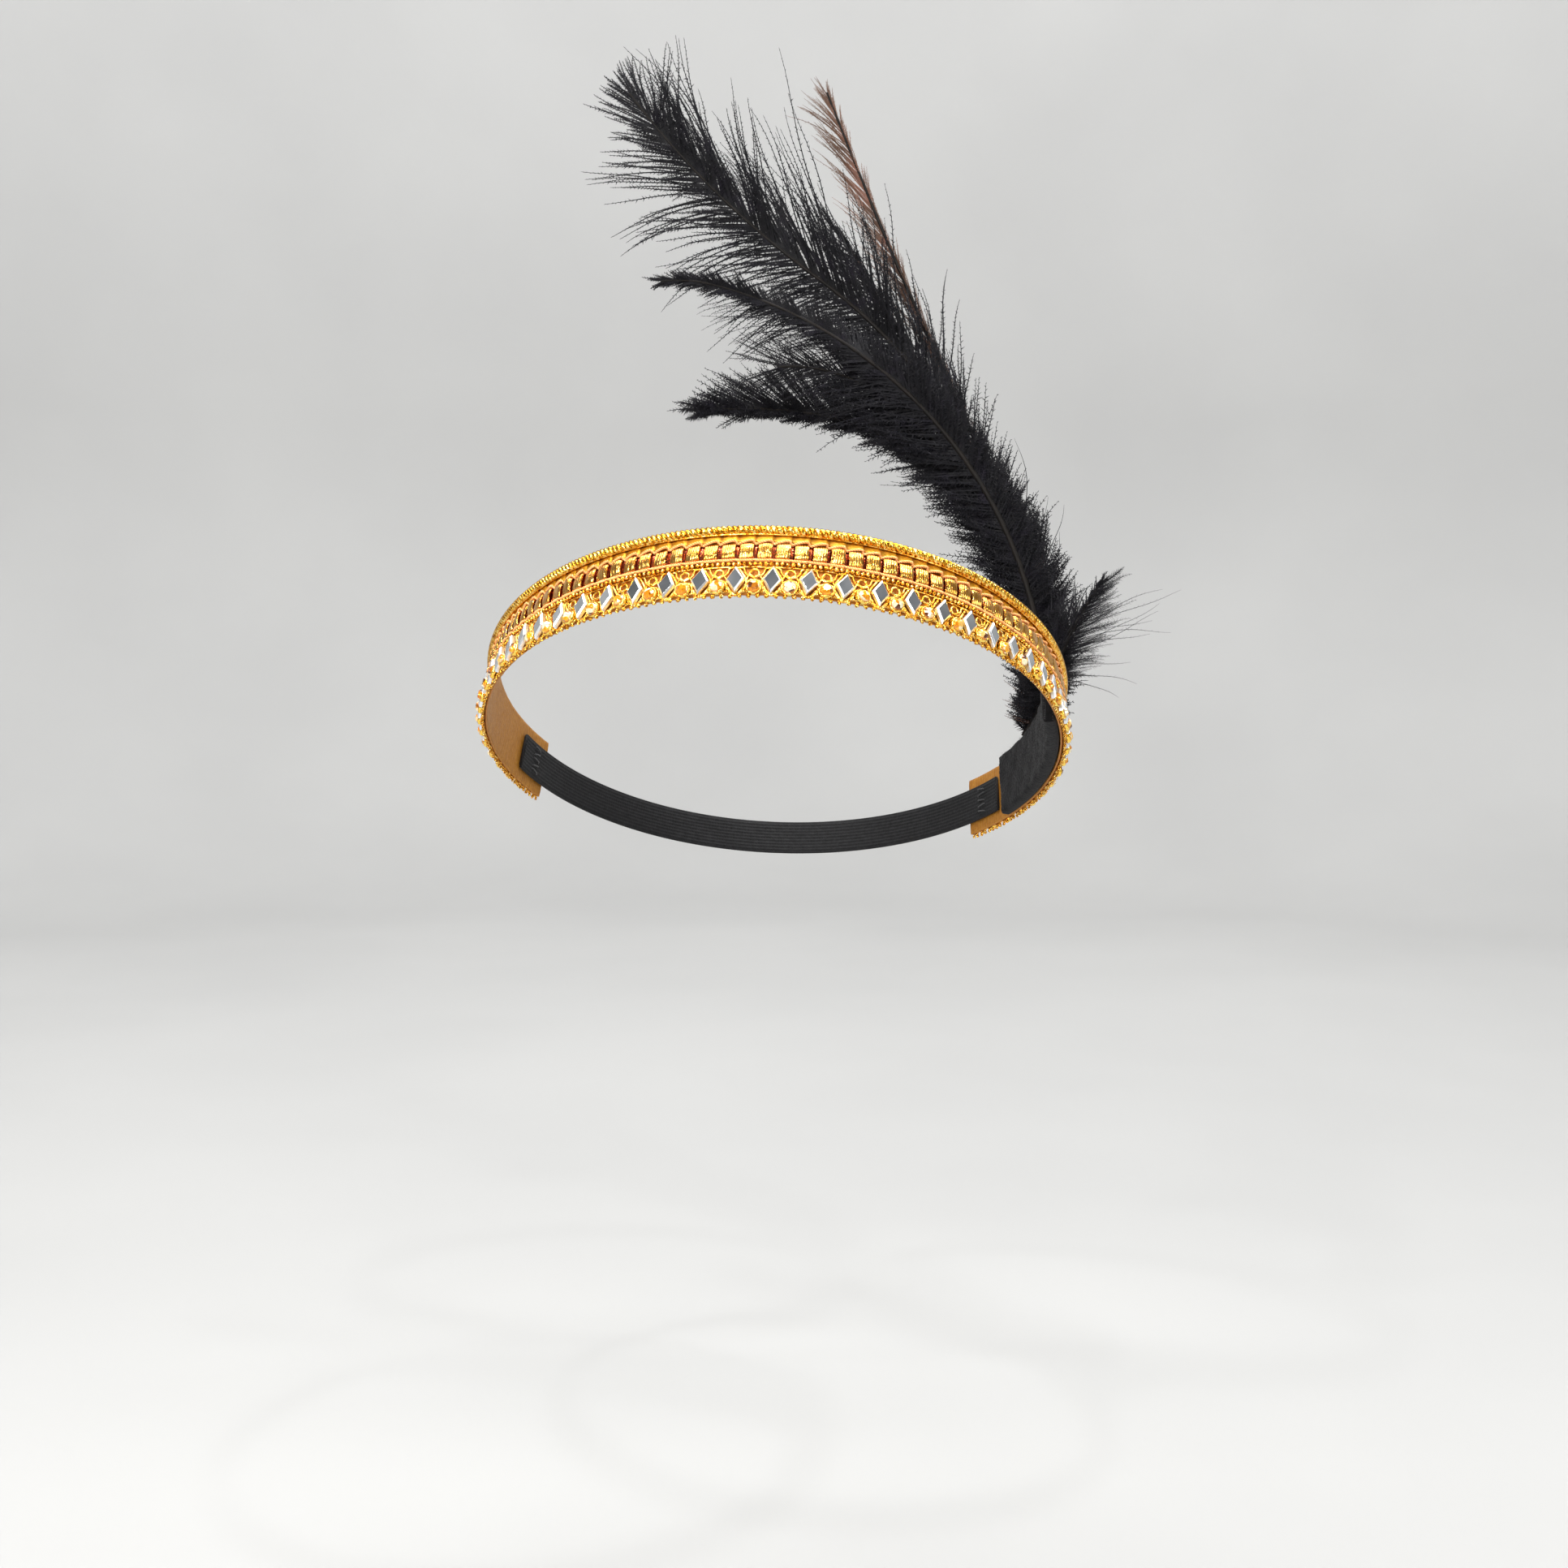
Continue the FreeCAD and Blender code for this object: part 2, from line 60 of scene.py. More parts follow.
HALF_WIDTH, HALF_DEPTH = 74.0, 91.5
CONE = math.radians(4.0)
ROLL, PITCH = math.radians(5.3), math.radians(-24.0)
TILT = np.array(Matrix.Rotation(ROLL, 3, "Y") @ Matrix.Rotation(PITCH, 3, "X"))
TURNS = np.radians(np.linspace(-300, 300, 12001))
SPEEDS = np.hypot(HALF_WIDTH * np.cos(TURNS), HALF_DEPTH * np.sin(TURNS))
LENGTHS = np.cumsum(SPEEDS) * (TURNS[1] - TURNS[0])
LENGTHS -= LENGTHS[len(LENGTHS) // 2]


def length_at(degrees):
    """How far along the loop an ellipse parameter is, from the forehead."""
    return float(np.interp(math.radians(degrees), TURNS, LENGTHS))


def unit(v):
    return v / np.maximum(np.linalg.norm(v, axis=-1, keepdims=True), 1e-12)


def loop_out(travelled):
    turn = np.interp(travelled, LENGTHS, TURNS)
    out = np.stack([np.sin(turn) / HALF_WIDTH, -np.cos(turn) / HALF_DEPTH, 0 * turn], -1)
    return turn, unit(out)


def band(travelled, outward, across):
    """Points on the tilted band: how far along it, how far out of its inner face, how far up it."""
    travelled, outward, across = np.broadcast_arrays(
        *[np.asarray(v, float) for v in (travelled, outward, across)]
    )
    turn, out = loop_out(travelled)
    reach = outward - across * math.tan(CONE)
    points = np.stack([HALF_WIDTH * np.sin(turn), -HALF_DEPTH * np.cos(turn), across], -1)
    return (points + out * reach[..., None]) @ TILT.T


def band_axes(travelled):
    """The directions along the band, up it and out of it."""
    _, out = loop_out(np.asarray(travelled, float))
    along = np.stack([-out[..., 1], out[..., 0], out[..., 2]], -1)
    up = np.array([0, 0, math.cos(CONE)]) - out * math.sin(CONE)
    return along @ TILT.T, up @ TILT.T, np.cross(along, up) @ TILT.T


# ends of the layers, in degrees round the loop from the forehead
TRIM_TURN, ELASTIC_TURN, STONES_TURN = 122.0, 112.0, 120.0
PAD_TURNS, POCKET_TURNS = (64.0, 108.0), (75.0, 105.0)
FIRST_FEATHER_TURN, FEATHER_STEP = 81.0, 3.0
TRIM_END = length_at(TRIM_TURN)
HALF_TRIM = 8.5
RIBBON = 0.84

# ---------------------------------------------------------------- meshes


def circle(sides):
    """Angles round a full turn."""
    return 2 * math.pi * np.arange(sides) / sides


def run_along(path):
    """How far from a path's start each of its points is."""
    return np.concatenate([[0], np.cumsum(np.linalg.norm(np.diff(path, axis=0), axis=1))])


def resample(path, count):
    """Evenly spaced points along a path."""
    path = np.asarray(path, float)
    run = run_along(path)
    here = np.linspace(0, run[-1], count)
    return np.stack([np.interp(here, run, path[:, i]) for i in range(path.shape[1])], -1)


def build(parts, name, paint, node, body="band", smooth=True):
    """Makes one object that stands for a CAD node, of parts: (points, faces, uv, tone).

    Each part has its own strip of the texture.
    """
    points, faces, uvs, tones, size = [], [], [], [], 0
    for index, (places, groups, uv, tone) in enumerate(parts):
        places = places.reshape(-1, 3)
        points.append(places)
        faces += [group + size for group in groups]
        uvs.append((uv.reshape(-1, 2) + [0, index]) / [1, len(parts)])
        tones.append(np.broadcast_to(np.asarray(tone, float).reshape(-1), len(places)))
        size += len(places)
    points = np.concatenate(points) * MM
    loops = np.concatenate([group.ravel() for group in faces])
    sizes = np.concatenate([np.full(len(group), group.shape[1]) for group in faces])
    mesh = bpy.data.meshes.new(name)
    mesh.vertices.add(len(points))
    mesh.vertices.foreach_set("co", points.ravel())
    mesh.loops.add(len(loops))
    mesh.loops.foreach_set("vertex_index", loops.astype(np.int32))
    mesh.polygons.add(len(sizes))
    mesh.polygons.foreach_set("loop_start", (np.cumsum(sizes) - sizes).astype(np.int32))
    mesh.polygons.foreach_set("use_smooth", np.full(len(sizes), smooth))
    mesh.uv_layers.new(name="OFBake").data.foreach_set("uv", np.concatenate(uvs)[loops].ravel())
    tone = mesh.attributes.new("tone", "FLOAT", "POINT")
    tone.data.foreach_set("value", np.concatenate(tones))
    mesh.update(calc_edges=True)
    mesh.materials.append(paint)
    obj = bpy.data.objects.new(name, mesh)
    scene.collection.objects.link(obj)
    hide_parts(node)
    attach(obj, body)
    return obj


def shell(rings, tone=0.0):
    """A closed skin over rings of points, (tubes, rings, points, 3), with flat ends."""
    count, length, sides = rings.shape[:3]
    index = np.arange(count * length * sides).reshape(count, length, sides)
    a, b = index[:, :-1], index[:, 1:]
    quads = np.stack([a, np.roll(a, -1, 2), np.roll(b, -1, 2), b], -1).reshape(-1, 4)
    fan = np.arange(1, sides - 1)
    ends = []
    for ring, first, second in ((index[:, 0], fan + 1, fan), (index[:, -1], fan, fan + 1)):
        corner = np.broadcast_to(ring[:, :1], (count, len(fan)))
        ends.append(np.stack([corner, ring[:, first], ring[:, second]], -1).reshape(-1, 3))
    along, around = np.meshgrid(np.linspace(0, 1, length), np.arange(sides) / sides, indexing="ij")
    first = np.arange(count)[:, None, None]
    if count > length:
        uv = np.stack([(first + 0.9 * around) / count, np.broadcast_to(along, (count, length, sides))], -1)
    else:
        uv = np.stack([np.broadcast_to(along, (count, length, sides)), (first + 0.9 * around) / count], -1)
    tones = np.broadcast_to(np.asarray(tone, float), (count, length, sides))
    return rings, [quads, *ends], uv, tones


def tubes(paths, normals, radii, sides=6, tone=0.0):
    """Round tubes along paths, (tubes, points, 3)."""
    paths = np.asarray(paths, float)
    along = unit(np.gradient(paths, axis=1))
    side = unit(np.cross(along, np.broadcast_to(normals, paths.shape)))
    normal = np.cross(side, along)
    angle = circle(sides)
    spread = np.broadcast_to(np.asarray(radii, float), paths.shape[:2])[..., None, None]
    ring = normal[:, :, None] * np.cos(angle)[:, None] + side[:, :, None] * np.sin(angle)[:, None]
    tone = np.asarray(tone, float)
    return shell(paths[:, :, None] + ring * spread, tone[..., None] if tone.ndim == 2 else tone)


def twisted(travelled, outward, across, radius, plies, pitch, sides=6, share=0.5):
    """A cord of plies twisted round each other, following the band; its tone is deeper towards the core,
    painted shade in the gaps between the plies.
    """
    path = band(travelled, outward, across)
    along = unit(np.gradient(path, axis=0))
    _, _, out = band_axes(travelled)
    side = unit(np.cross(along, out))
    normal = np.cross(side, along)
    run = run_along(path)
    paths = []
    for ply in range(plies):
        angle = 2 * math.pi * (run / pitch + ply / plies)
        swing = normal * np.cos(angle)[:, None] + side * np.sin(angle)[:, None]
        paths.append(path + swing * radius * share)
    thick = radius * (1 - share) * 1.06
    rings, faces, uv, _ = tubes(np.array(paths), out, thick, sides)
    depth = np.linalg.norm(rings - path[None, :, None], axis=-1)
    return rings, faces, uv, np.clip((0.95 * radius - depth) / (0.45 * radius), 0, 1)


def stamp(rings, places, axes, scale=1.0):
    """Copies of one set of rings, turned, scaled and moved to each place."""
    return np.einsum("kij,abi->kabj", axes, rings) * scale + places[:, None, None]


# ---------------------------------------------------------------- materials


def new_paint(name):
    paint = bpy.data.materials.new(name)
    paint.use_nodes = True
    nodes, links = paint.node_tree.nodes, paint.node_tree.links
    shader = next(n for n in nodes if n.type == "BSDF_PRINCIPLED")
    return paint, nodes, links, shader


def put(node, **values):
    """Sets a node's plain input values; an underscore stands for a space."""
    for name, value in values.items():
        node.inputs[name.replace("_", " ")].default_value = value


def noise(nodes, links, scale, detail=3.0, stretch=None):
    """Noise in the object's own space, its scale in features per metre."""
    where = nodes.new("ShaderNodeTexCoord")
    texture = nodes.new("ShaderNodeTexNoise")
    put(texture, Scale=scale, Detail=detail)
    if stretch:
        squash = nodes.new("ShaderNodeMapping")
        put(squash, Scale=stretch)
        links.new(where.outputs["Object"], squash.inputs["Vector"])
        links.new(squash.outputs["Vector"], texture.inputs["Vector"])
    else:
        links.new(where.outputs["Object"], texture.inputs["Vector"])
    return texture.outputs["Fac"]


def ramp(nodes, links, value, stops):
    """Colours at positions, driven by a value."""
    node = nodes.new("ShaderNodeValToRGB")
    points = node.color_ramp.elements
    while len(points) < len(stops):
        points.new(0.5)
    for point, (place, colour) in zip(points, stops):
        point.position = place
        point.color = (*colour, 1.0)
    links.new(value, node.inputs["Fac"])
    return node.outputs["Color"]


def tone_node(nodes):
    """Reads the mesh's tone."""
    node = nodes.new("ShaderNodeAttribute")
    node.attribute_name = "tone"
    return node


def blend_by_tone(nodes, links, plain, deep):
    """Goes from one colour to another where the mesh's tone says so: on the trim a deeper one, painted
    shade; on the feathers their tips' colour; on the stones their bevels' colour.
    """
    tone = tone_node(nodes)
    mix = nodes.new("ShaderNodeMix")
    mix.data_type = "RGBA"
    links.new(tone.outputs["Fac"], mix.inputs["Factor"])
    links.new(plain, mix.inputs["A"])
    put(mix, B=(*deep, 1.0))
    return mix.outputs["Result"]


def bump(nodes, links, shader, height, strength, distance):
    node = nodes.new("ShaderNodeBump")
    put(node, Strength=strength, Distance=distance)
    links.new(height, node.inputs["Height"])
    links.new(node.outputs["Normal"], shader.inputs["Normal"])


def rough_by(nodes, links, shader, value, low, high):
    span = nodes.new("ShaderNodeMapRange")
    put(span, From_Min=0.3, From_Max=0.7, To_Min=low, To_Max=high)
    links.new(value, span.inputs["Value"])
    links.new(span.outputs["Result"], shader.inputs["Roughness"])


def fibre(name, stops, deep, metallic, rough, grain, depth, stretch=None, sheen=0.0, tint=(1, 1, 1)):
    """A thread, ribbon or cloth: mottled colour, grain in its roughness and fine relief, and a deeper colour
    where the mesh's tone asks for it, which on the trim is painted shade.
    """
    paint, nodes, links, shader = new_paint(name)
    coarse = noise(nodes, links, grain * 0.35)
    fine = noise(nodes, links, grain, stretch=stretch)
    colour = ramp(nodes, links, coarse, stops)
    links.new(blend_by_tone(nodes, links, colour, deep), shader.inputs["Base Color"])
    rough_by(nodes, links, shader, fine, *rough)
    bump(nodes, links, shader, fine, 0.5, depth)
    put(shader, Metallic=metallic, Sheen_Weight=sheen, Sheen_Tint=(*tint, 1.0))
    return paint


# the ribbon's deeper colour is painted shade, in the pleats' folds, rib valleys and rims
GOLD_RIBBON = fibre(
    "gold_ribbon_weave", [(0.34, (0.76, 0.32, 0.02)), (0.5, (0.9, 0.46, 0.05)), (0.66, (1.0, 0.62, 0.13))],
    (0.3, 0.045, 0.005), 1.0, (0.1, 0.22), 2600.0, 0.00008, stretch=(1, 1, 0.25),
)
# its deeper colour is painted shade between the rope's plies; its wide mottle, from dark brown to pale gold,
# is partly the thread's own uneven colour and partly painted glints and painted shade on the wraps, laid at
# random
GOLD_CORD = fibre(
    "gold_metal_thread", [(0.36, (0.42, 0.15, 0.008)), (0.5, (0.92, 0.46, 0.04)), (0.62, (1.0, 0.72, 0.22))],
    (0.24, 0.06, 0.006), 1.0, (0.1, 0.26), 3600.0, 0.0001,
)
# its deeper colour is painted shade between the plies of the picot's loops
GIMP_GOLD = fibre(
    "gimp_metal_thread", [(0.34, (0.62, 0.24, 0.012)), (0.5, (0.92, 0.47, 0.06)), (0.66, (1.0, 0.74, 0.26))],
    (0.26, 0.06, 0.006), 0.95, (0.12, 0.28), 3200.0, 0.00006,
)
# its deeper colour is painted shade on the ribbon's outer face, under the trim
BACKING_GOLD = fibre(
    "backing_weave", [(0.3, (0.38, 0.15, 0.018)), (0.6, (0.46, 0.2, 0.026)), (0.8, (0.54, 0.26, 0.04))],
    (0.42, 0.12, 0.006), 0.55, (0.35, 0.6), 2200.0, 0.0001, stretch=(1, 1, 3),
)
# its deeper colour is painted shade at the foot of each step
CHANNEL_GOLD = fibre(
    "channel_weave", [(0.3, (0.6, 0.3, 0.015)), (0.55, (0.8, 0.43, 0.035)), (0.8, (0.95, 0.56, 0.07))],
    (0.26, 0.08, 0.01), 0.7, (0.28, 0.45), 2800.0, 0.00008,
)
# its deeper colour is painted shade between the plies of the wave threads
PEACH_THREAD = fibre(
    "peach_silk", [(0.3, (0.9, 0.36, 0.09)), (0.6, (1.0, 0.5, 0.17)), (0.8, (1.0, 0.64, 0.3))],
    (0.62, 0.16, 0.03), 0.25, (0.3, 0.5), 3000.0, 0.00006, sheen=0.15, tint=(1.0, 0.8, 0.6),
)
BLACK_ELASTIC = fibre(
    "knit_elastic", [(0.3, (0.004, 0.004, 0.0045)), (0.7, (0.01, 0.01, 0.011))],
    (0.02, 0.02, 0.021), 0.0, (0.6, 0.85), 2600.0, 0.00015, sheen=0.05,
)
BLACK_FELT = fibre(
    "pressed_felt", [(0.3, (0.003, 0.003, 0.0035)), (0.7, (0.008, 0.0075, 0.009))],
    (0.015, 0.014, 0.016), 0.0, (0.8, 0.98), 1500.0, 0.0003, sheen=0.05,
)
BLACK_THREAD = fibre(
    "black_polyester", [(0.3, (0.012, 0.012, 0.013)), (0.7, (0.03, 0.03, 0.033))],
    (0.04, 0.04, 0.042), 0.0, (0.4, 0.6), 4000.0, 0.00005, sheen=0.2,
)
BLACK_BARBS = fibre(
    "dyed_barbs",
    [(0.3, (0.002, 0.002, 0.0026)), (0.55, (0.003, 0.0028, 0.004)), (0.8, (0.007, 0.005, 0.011))],
    (0.01, 0.009, 0.013), 0.0, (0.55, 0.75), 600.0, 0.00003, sheen=0.03, tint=(0.6, 0.6, 0.9),
)
BRONZE_BARBS = fibre(
    "iridescent_barbs",
    [(0.35, (0.035, 0.015, 0.009)), (0.52, (0.085, 0.04, 0.024)), (0.68, (0.19, 0.085, 0.06))],
    (0.15, 0.085, 0.055), 0.35, (0.28, 0.45), 300.0, 0.00003, sheen=0.08, tint=(1.0, 0.6, 0.6),
)
QUILL_HORN = fibre(
    "quill_horn", [(0.3, (0.003, 0.0024, 0.002)), (0.7, (0.009, 0.0065, 0.005))],
    (0.07, 0.05, 0.04), 0.0, (0.5, 0.65), 900.0, 0.00004, stretch=(3, 3, 0.4),
)
for dark in (BLACK_BARBS, BLACK_ELASTIC, BLACK_FELT, QUILL_HORN):
    put(dark.node_tree.nodes["Principled BSDF"], Specular_IOR_Level=0.2)
# the ribbon's foil lies under a thin clear film, so its glints are white
put(GOLD_RIBBON.node_tree.nodes["Principled BSDF"], Coat_Weight=0.9, Coat_Roughness=0.12, Coat_IOR=1.4)


def facets(nodes, links, scale):
    """One random value for each facet-sized cell; on the amber stones it makes painted glints and painted
    dark facets, as the inside of a cut stone glitters.
    """
    where = nodes.new("ShaderNodeTexCoord")
    cells = nodes.new("ShaderNodeTexVoronoi")
    put(cells, Scale=scale)
    links.new(where.outputs["Object"], cells.inputs["Vector"])
    apart = nodes.new("ShaderNodeSeparateColor")
    links.new(cells.outputs["Color"], apart.inputs["Color"])
    return apart.outputs["Red"]


def stone_paint(name, stops, edge, metallic, rough, coat=0.0, glitter=0.0):
    """Foil-backed acrylic: a clear tint over a bright back, with softer bevels of another colour; on the
    silvered stones that colour is a lighter silver, a painted highlight.
    """
    paint, nodes, links, shader = new_paint(name)
    cloud = facets(nodes, links, glitter) if glitter else noise(nodes, links, 260.0, 1.0)
    colour = ramp(nodes, links, cloud, stops)
    links.new(blend_by_tone(nodes, links, colour, edge), shader.inputs["Base Color"])
    scratches = noise(nodes, links, 5000.0, 4.0)
    bump(nodes, links, shader, scratches, 0.08, 0.00002)
    tone = tone_node(nodes)
    soften = nodes.new("ShaderNodeMath")
    soften.operation = "MULTIPLY_ADD"
    links.new(scratches, soften.inputs[0])
    soften.inputs[1].default_value = rough[1]
    spread = nodes.new("ShaderNodeMapRange")
    put(spread, To_Min=rough[0], To_Max=0.32)
    links.new(tone.outputs["Fac"], spread.inputs["Value"])
    links.new(spread.outputs["Result"], soften.inputs[2])
    links.new(soften.outputs["Value"], shader.inputs["Roughness"])
    put(shader, Metallic=metallic, Coat_Weight=coat)
    return paint


# its lighter edge colour on the sides and bevels is a painted highlight, as bevels catch the light
MIRROR = stone_paint(
    "silvered_acrylic", [(0.3, (0.5, 0.53, 0.55)), (0.7, (0.7, 0.72, 0.74))],
    (0.84, 0.86, 0.88), 1.0, (0.02, 0.05),
)
# its darkest and palest facet cells are painted dark reflections and painted glints
AMBER = stone_paint(
    "amber_acrylic",
    [(0.12, (0.12, 0.025, 0.0)), (0.24, (0.8, 0.26, 0.002)),
     (0.6, (1.0, 0.5, 0.01)), (0.74, (1.0, 0.92, 0.6))],
    (0.6, 0.19, 0.003), 0.5, (0.02, 0.04), coat=1.0, glitter=900.0,
)
FOIL = fibre(
    "stamped_foil", [(0.3, (1.0, 0.62, 0.07)), (0.7, (1.0, 0.76, 0.2))],
    (0.4, 0.12, 0.01), 1.0, (0.12, 0.2), 900.0, 0.00003,
)

# ---------------------------------------------------------------- the ribbons and cords

PLEAT = 3.9
PLEAT_COUNT = int(2 * TRIM_END / PLEAT)


def stations(step, start=-TRIM_END, end=TRIM_END):
    return np.linspace(start, end, int(round((end - start) / step)) + 1)


def strip_rings(travelled, outer, inner, across):
    """Rings of a ribbon: down its outer face and up its inner face."""
    down = np.asarray(across, float)
    length = len(travelled)
    outer = np.broadcast_to(outer, (length, len(down)))
    inner = np.broadcast_to(inner, (length, len(down)))
    face = band(travelled[:, None], outer, down[None])
    back = band(travelled[:, None], inner[:, ::-1], down[None, ::-1])
    return np.concatenate([face, back], 1)[None]


def make_base_ribbon():
    rng = np.random.default_rng(11)
    travelled = stations(0.3)
    across = np.linspace(HALF_TRIM, -8.1, 24)
    edge = 1 - np.abs(across / HALF_TRIM) ** 8 * 0.45
    weft = 0.035 * np.sin(2 * math.pi * travelled / 1.2)[:, None]
    warp = 0.02 * rng.standard_normal((len(travelled), len(across)))
    middle = 0.4
    outer = middle + (middle - 0.05) * edge + (weft + warp) * 0.5
    inner = middle - (middle - 0.05) * edge + weft + warp
    tone = np.zeros((1, len(travelled), 48))
    # the outer face, lying under the trim, is painted a deeper, darker orange: painted shade
    tone[..., :24] = 0.65
    ribbon = shell(strip_rings(travelled, outer, inner, across), tone)
    obj = build([ribbon], "base_ribbon_weave", BACKING_GOLD, "base_ribbon")


def make_top_cord():
    rope = twisted(stations(0.12), 1.92, 7.5, 1.1, 2, 2.4, sides=10, share=0.48)
    # fine wire laid beside the rope, on the side of the channel
    run = stations(0.4)
    wire = tubes(band(run, 2.0, 6.45)[None], band_axes(run)[2][None], 0.2)
    build([rope, wire], "top_edge_rope", GOLD_CORD, "top_edge_cord")


def pleat_share(travelled):
    return np.mod(travelled / PLEAT, 1.0)


def make_channel():
    travelled = stations(0.18)
    across = np.linspace(6.5, 4.9, 6)
    share = pleat_share(travelled)
    step = 0.26 * np.minimum(share / 0.86, (1 - share) / 0.14)[:, None]
    hatch = 0.035 * np.sin(2 * math.pi * (travelled[:, None] + across[None] * 0.9) / 0.42)
    outer = RIBBON + 0.42 + step + hatch
    tone = np.zeros((1, len(travelled), 12))
    # painted shade at the foot of each step, around its sharp drop
    tone[0] = np.clip(1.0 - step / 0.13, 0, 1) * 0.8
    ribbon = shell(strip_rings(travelled, outer, RIBBON, across), tone)
    build([ribbon], "channel_weave", CHANNEL_GOLD, "channel_ribbon")


# one knife pleat, seen from its edge: (along, outward, how deep in the fold, which sets its painted shade)
PLEAT_EDGE = [
    (0.00, 0.26, 1.0), (0.4, 0.28, 1.0), (0.5, 0.7, 0.95), (0.58, 1.00, 0.5), (0.95, 1.2, 0.0),
    (1.8, 1.38, 0.0), (2.6, 1.48, 0.0), (3.2, 1.5, 0.05), (3.5, 1.36, 0.25), (3.58, 1.1, 0.7),
    (3.5, 0.78, 0.95), (3.46, 0.42, 1.0), (3.62, 0.26, 1.0), (3.9, 0.26, 1.0),
]


PLEAT_POINTS = 63
RIB_POINTS = 5


def make_pleats():
    rng = np.random.default_rng(5)
    edge = resample(PLEAT_EDGE, PLEAT_POINTS)[:-1]
    start = -PLEAT_COUNT * PLEAT / 2
    up = np.linspace(0, 1, 10)[::-1]
    rim = (2 * up - 1)[None]
    puff = 1 - 0.3 * np.abs(rim) ** 3
    swell = np.sin(math.pi * edge[:, :1] / PLEAT)
    zigzag = np.abs(np.arange(len(edge)) % RIB_POINTS - 2) - 1
    rings, tones = [], []
    base = np.linspace(0, PLEAT, len(edge), endpoint=False)
    for index in range(PLEAT_COUNT):
        tall, wide, lean = rng.normal(1.0, 0.07), rng.normal(0.0, 0.12), rng.normal(0.25, 0.2)
        tip = rng.normal(0.0, 0.16) * rim * swell
        rib_size = rng.uniform(0.4, 1.5, len(edge) // RIB_POINTS + 1).repeat(RIB_POINTS)[:len(edge)]
        rib = (0.045 * zigzag * rib_size)[:, None]
        out = np.clip(edge[:, 1, None] * tall * puff + rib + tip, 0.05, 1.66)
        sway = lean * (up[None] - 0.5) * swell
        across = 0.42 + 3.76 * up[None] + 0.18 * swell * rim
        place = start + index * PLEAT
        face = band(place + (edge[:, :1] + wide * swell) + sway, RIBBON + out, across)
        back = band(place + base[:, None] + 0 * across, RIBBON + 0.02, across[:, ::-1])
        rings.append(np.concatenate([face, back], 1))
        # painted shade: in the rib valleys at random strength, deep in each fold, and along the pleat's
        # upper and lower rims
        groove_shade = np.clip(0.34 - rib / 0.09, 0, 0.75) * rng.uniform(0.6, 1.2, (len(edge), 1))
        deep = np.broadcast_to(np.maximum(edge[:, 2, None], groove_shade), (len(edge), len(up)))
        rim_shade = 0.45 * np.abs(rim) ** 10
        tones.append(np.concatenate([np.clip(deep + rim_shade, 0, 1), deep], 1))
    ribbon = shell(np.concatenate(rings)[None], np.concatenate(tones)[None])
    build([ribbon], "pleated_metal_ribbon", GOLD_RIBBON, "pleated_ribbon")


def make_wave_threads():
    travelled = stations(0.13)
    share = pleat_share(travelled + PLEAT_COUNT * PLEAT / 2)
    wave = np.interp(share, [0, 0.25, 0.62, 0.86, 0.93, 1.0], [0.0, 0.5, 0.95, 1.0, 0.25, 0.0])
    rise = RIBBON + 0.45 + 0.75 * wave
    for name, middle, sway, node in (
        ("upper_wave_silk", 4.28, 0.62, "upper_wave_thread"),
        ("lower_wave_silk", 0.26, -0.44, "lower_wave_thread"),
    ):
        thread = twisted(travelled, rise, middle + sway * wave, 0.34, 2, 1.1)
        build([thread], name, PEACH_THREAD, node)


def make_bead_cord():
    rng = np.random.default_rng(8)
    pitch = 1.15
    centres = stations(pitch)
    along, up, out = band_axes(centres)
    places = band(centres, 1.5, -0.82 + rng.normal(0, 0.05, len(centres)))
    axes = np.stack([up, out, along], 1)
    fat = np.linspace(0, math.pi, 7)
    profile = np.stack([0.56 * np.sin(fat), -0.52 * np.cos(fat)], -1)
    angle = circle(8)
    ring = np.stack([
        profile[:, 0, None] * np.cos(angle), profile[:, 0, None] * np.sin(angle),
        profile[:, 1, None] * np.ones(8),
    ], -1)
    scale = rng.normal(1.0, 0.08, (len(centres), 1, 1, 1))
    beads = shell(stamp(ring, places, axes, scale))
    run = stations(0.4)
    rise = RIBBON + 0.45 + 0.05 * np.sin(run * 1.7)
    path = band(run, rise, -1.56 + 0.04 * np.sin(run * 0.9))
    wire = tubes(path[None], band_axes(run)[2][None], 0.2)
    build([beads, wire], "beaded_cord", GOLD_CORD, "bead_cord")


# ---------------------------------------------------------------- stones, cups and scrolls

STONE_PITCH = 7.65
SEAT = 1.44
HALF_COUNT = int(length_at(STONES_TURN) / (STONE_PITCH / 2))
STONE_STATIONS = np.arange(-HALF_COUNT, HALF_COUNT + 1) * STONE_PITCH / 2
DIAMONDS = STONE_STATIONS[HALF_COUNT % 2::2]
ROUNDS = STONE_STATIONS[1 - HALF_COUNT % 2::2]
DIAMOND_ACROSS, ROUND_ACROSS = -5.15, -6.85


def stone_axes(rng, travelled, lean, tip):
    """Local axes of stones that lean a little in the band and face slightly different ways."""
    along, up, out = band_axes(travelled)
    turn = np.radians(rng.normal(lean[0], lean[1], len(travelled)))[:, None]
    right = along * np.cos(turn) + up * np.sin(turn)
    tall = up * np.cos(turn) - along * np.sin(turn)
    sideways, upwards = rng.normal(0, tip, (2, len(turn), 1))
    faced = unit(out + right * sideways + tall * upwards)
    right = unit(right - faced * np.sum(right * faced, -1, keepdims=True))
    return np.stack([right, np.cross(faced, right), faced], 1)


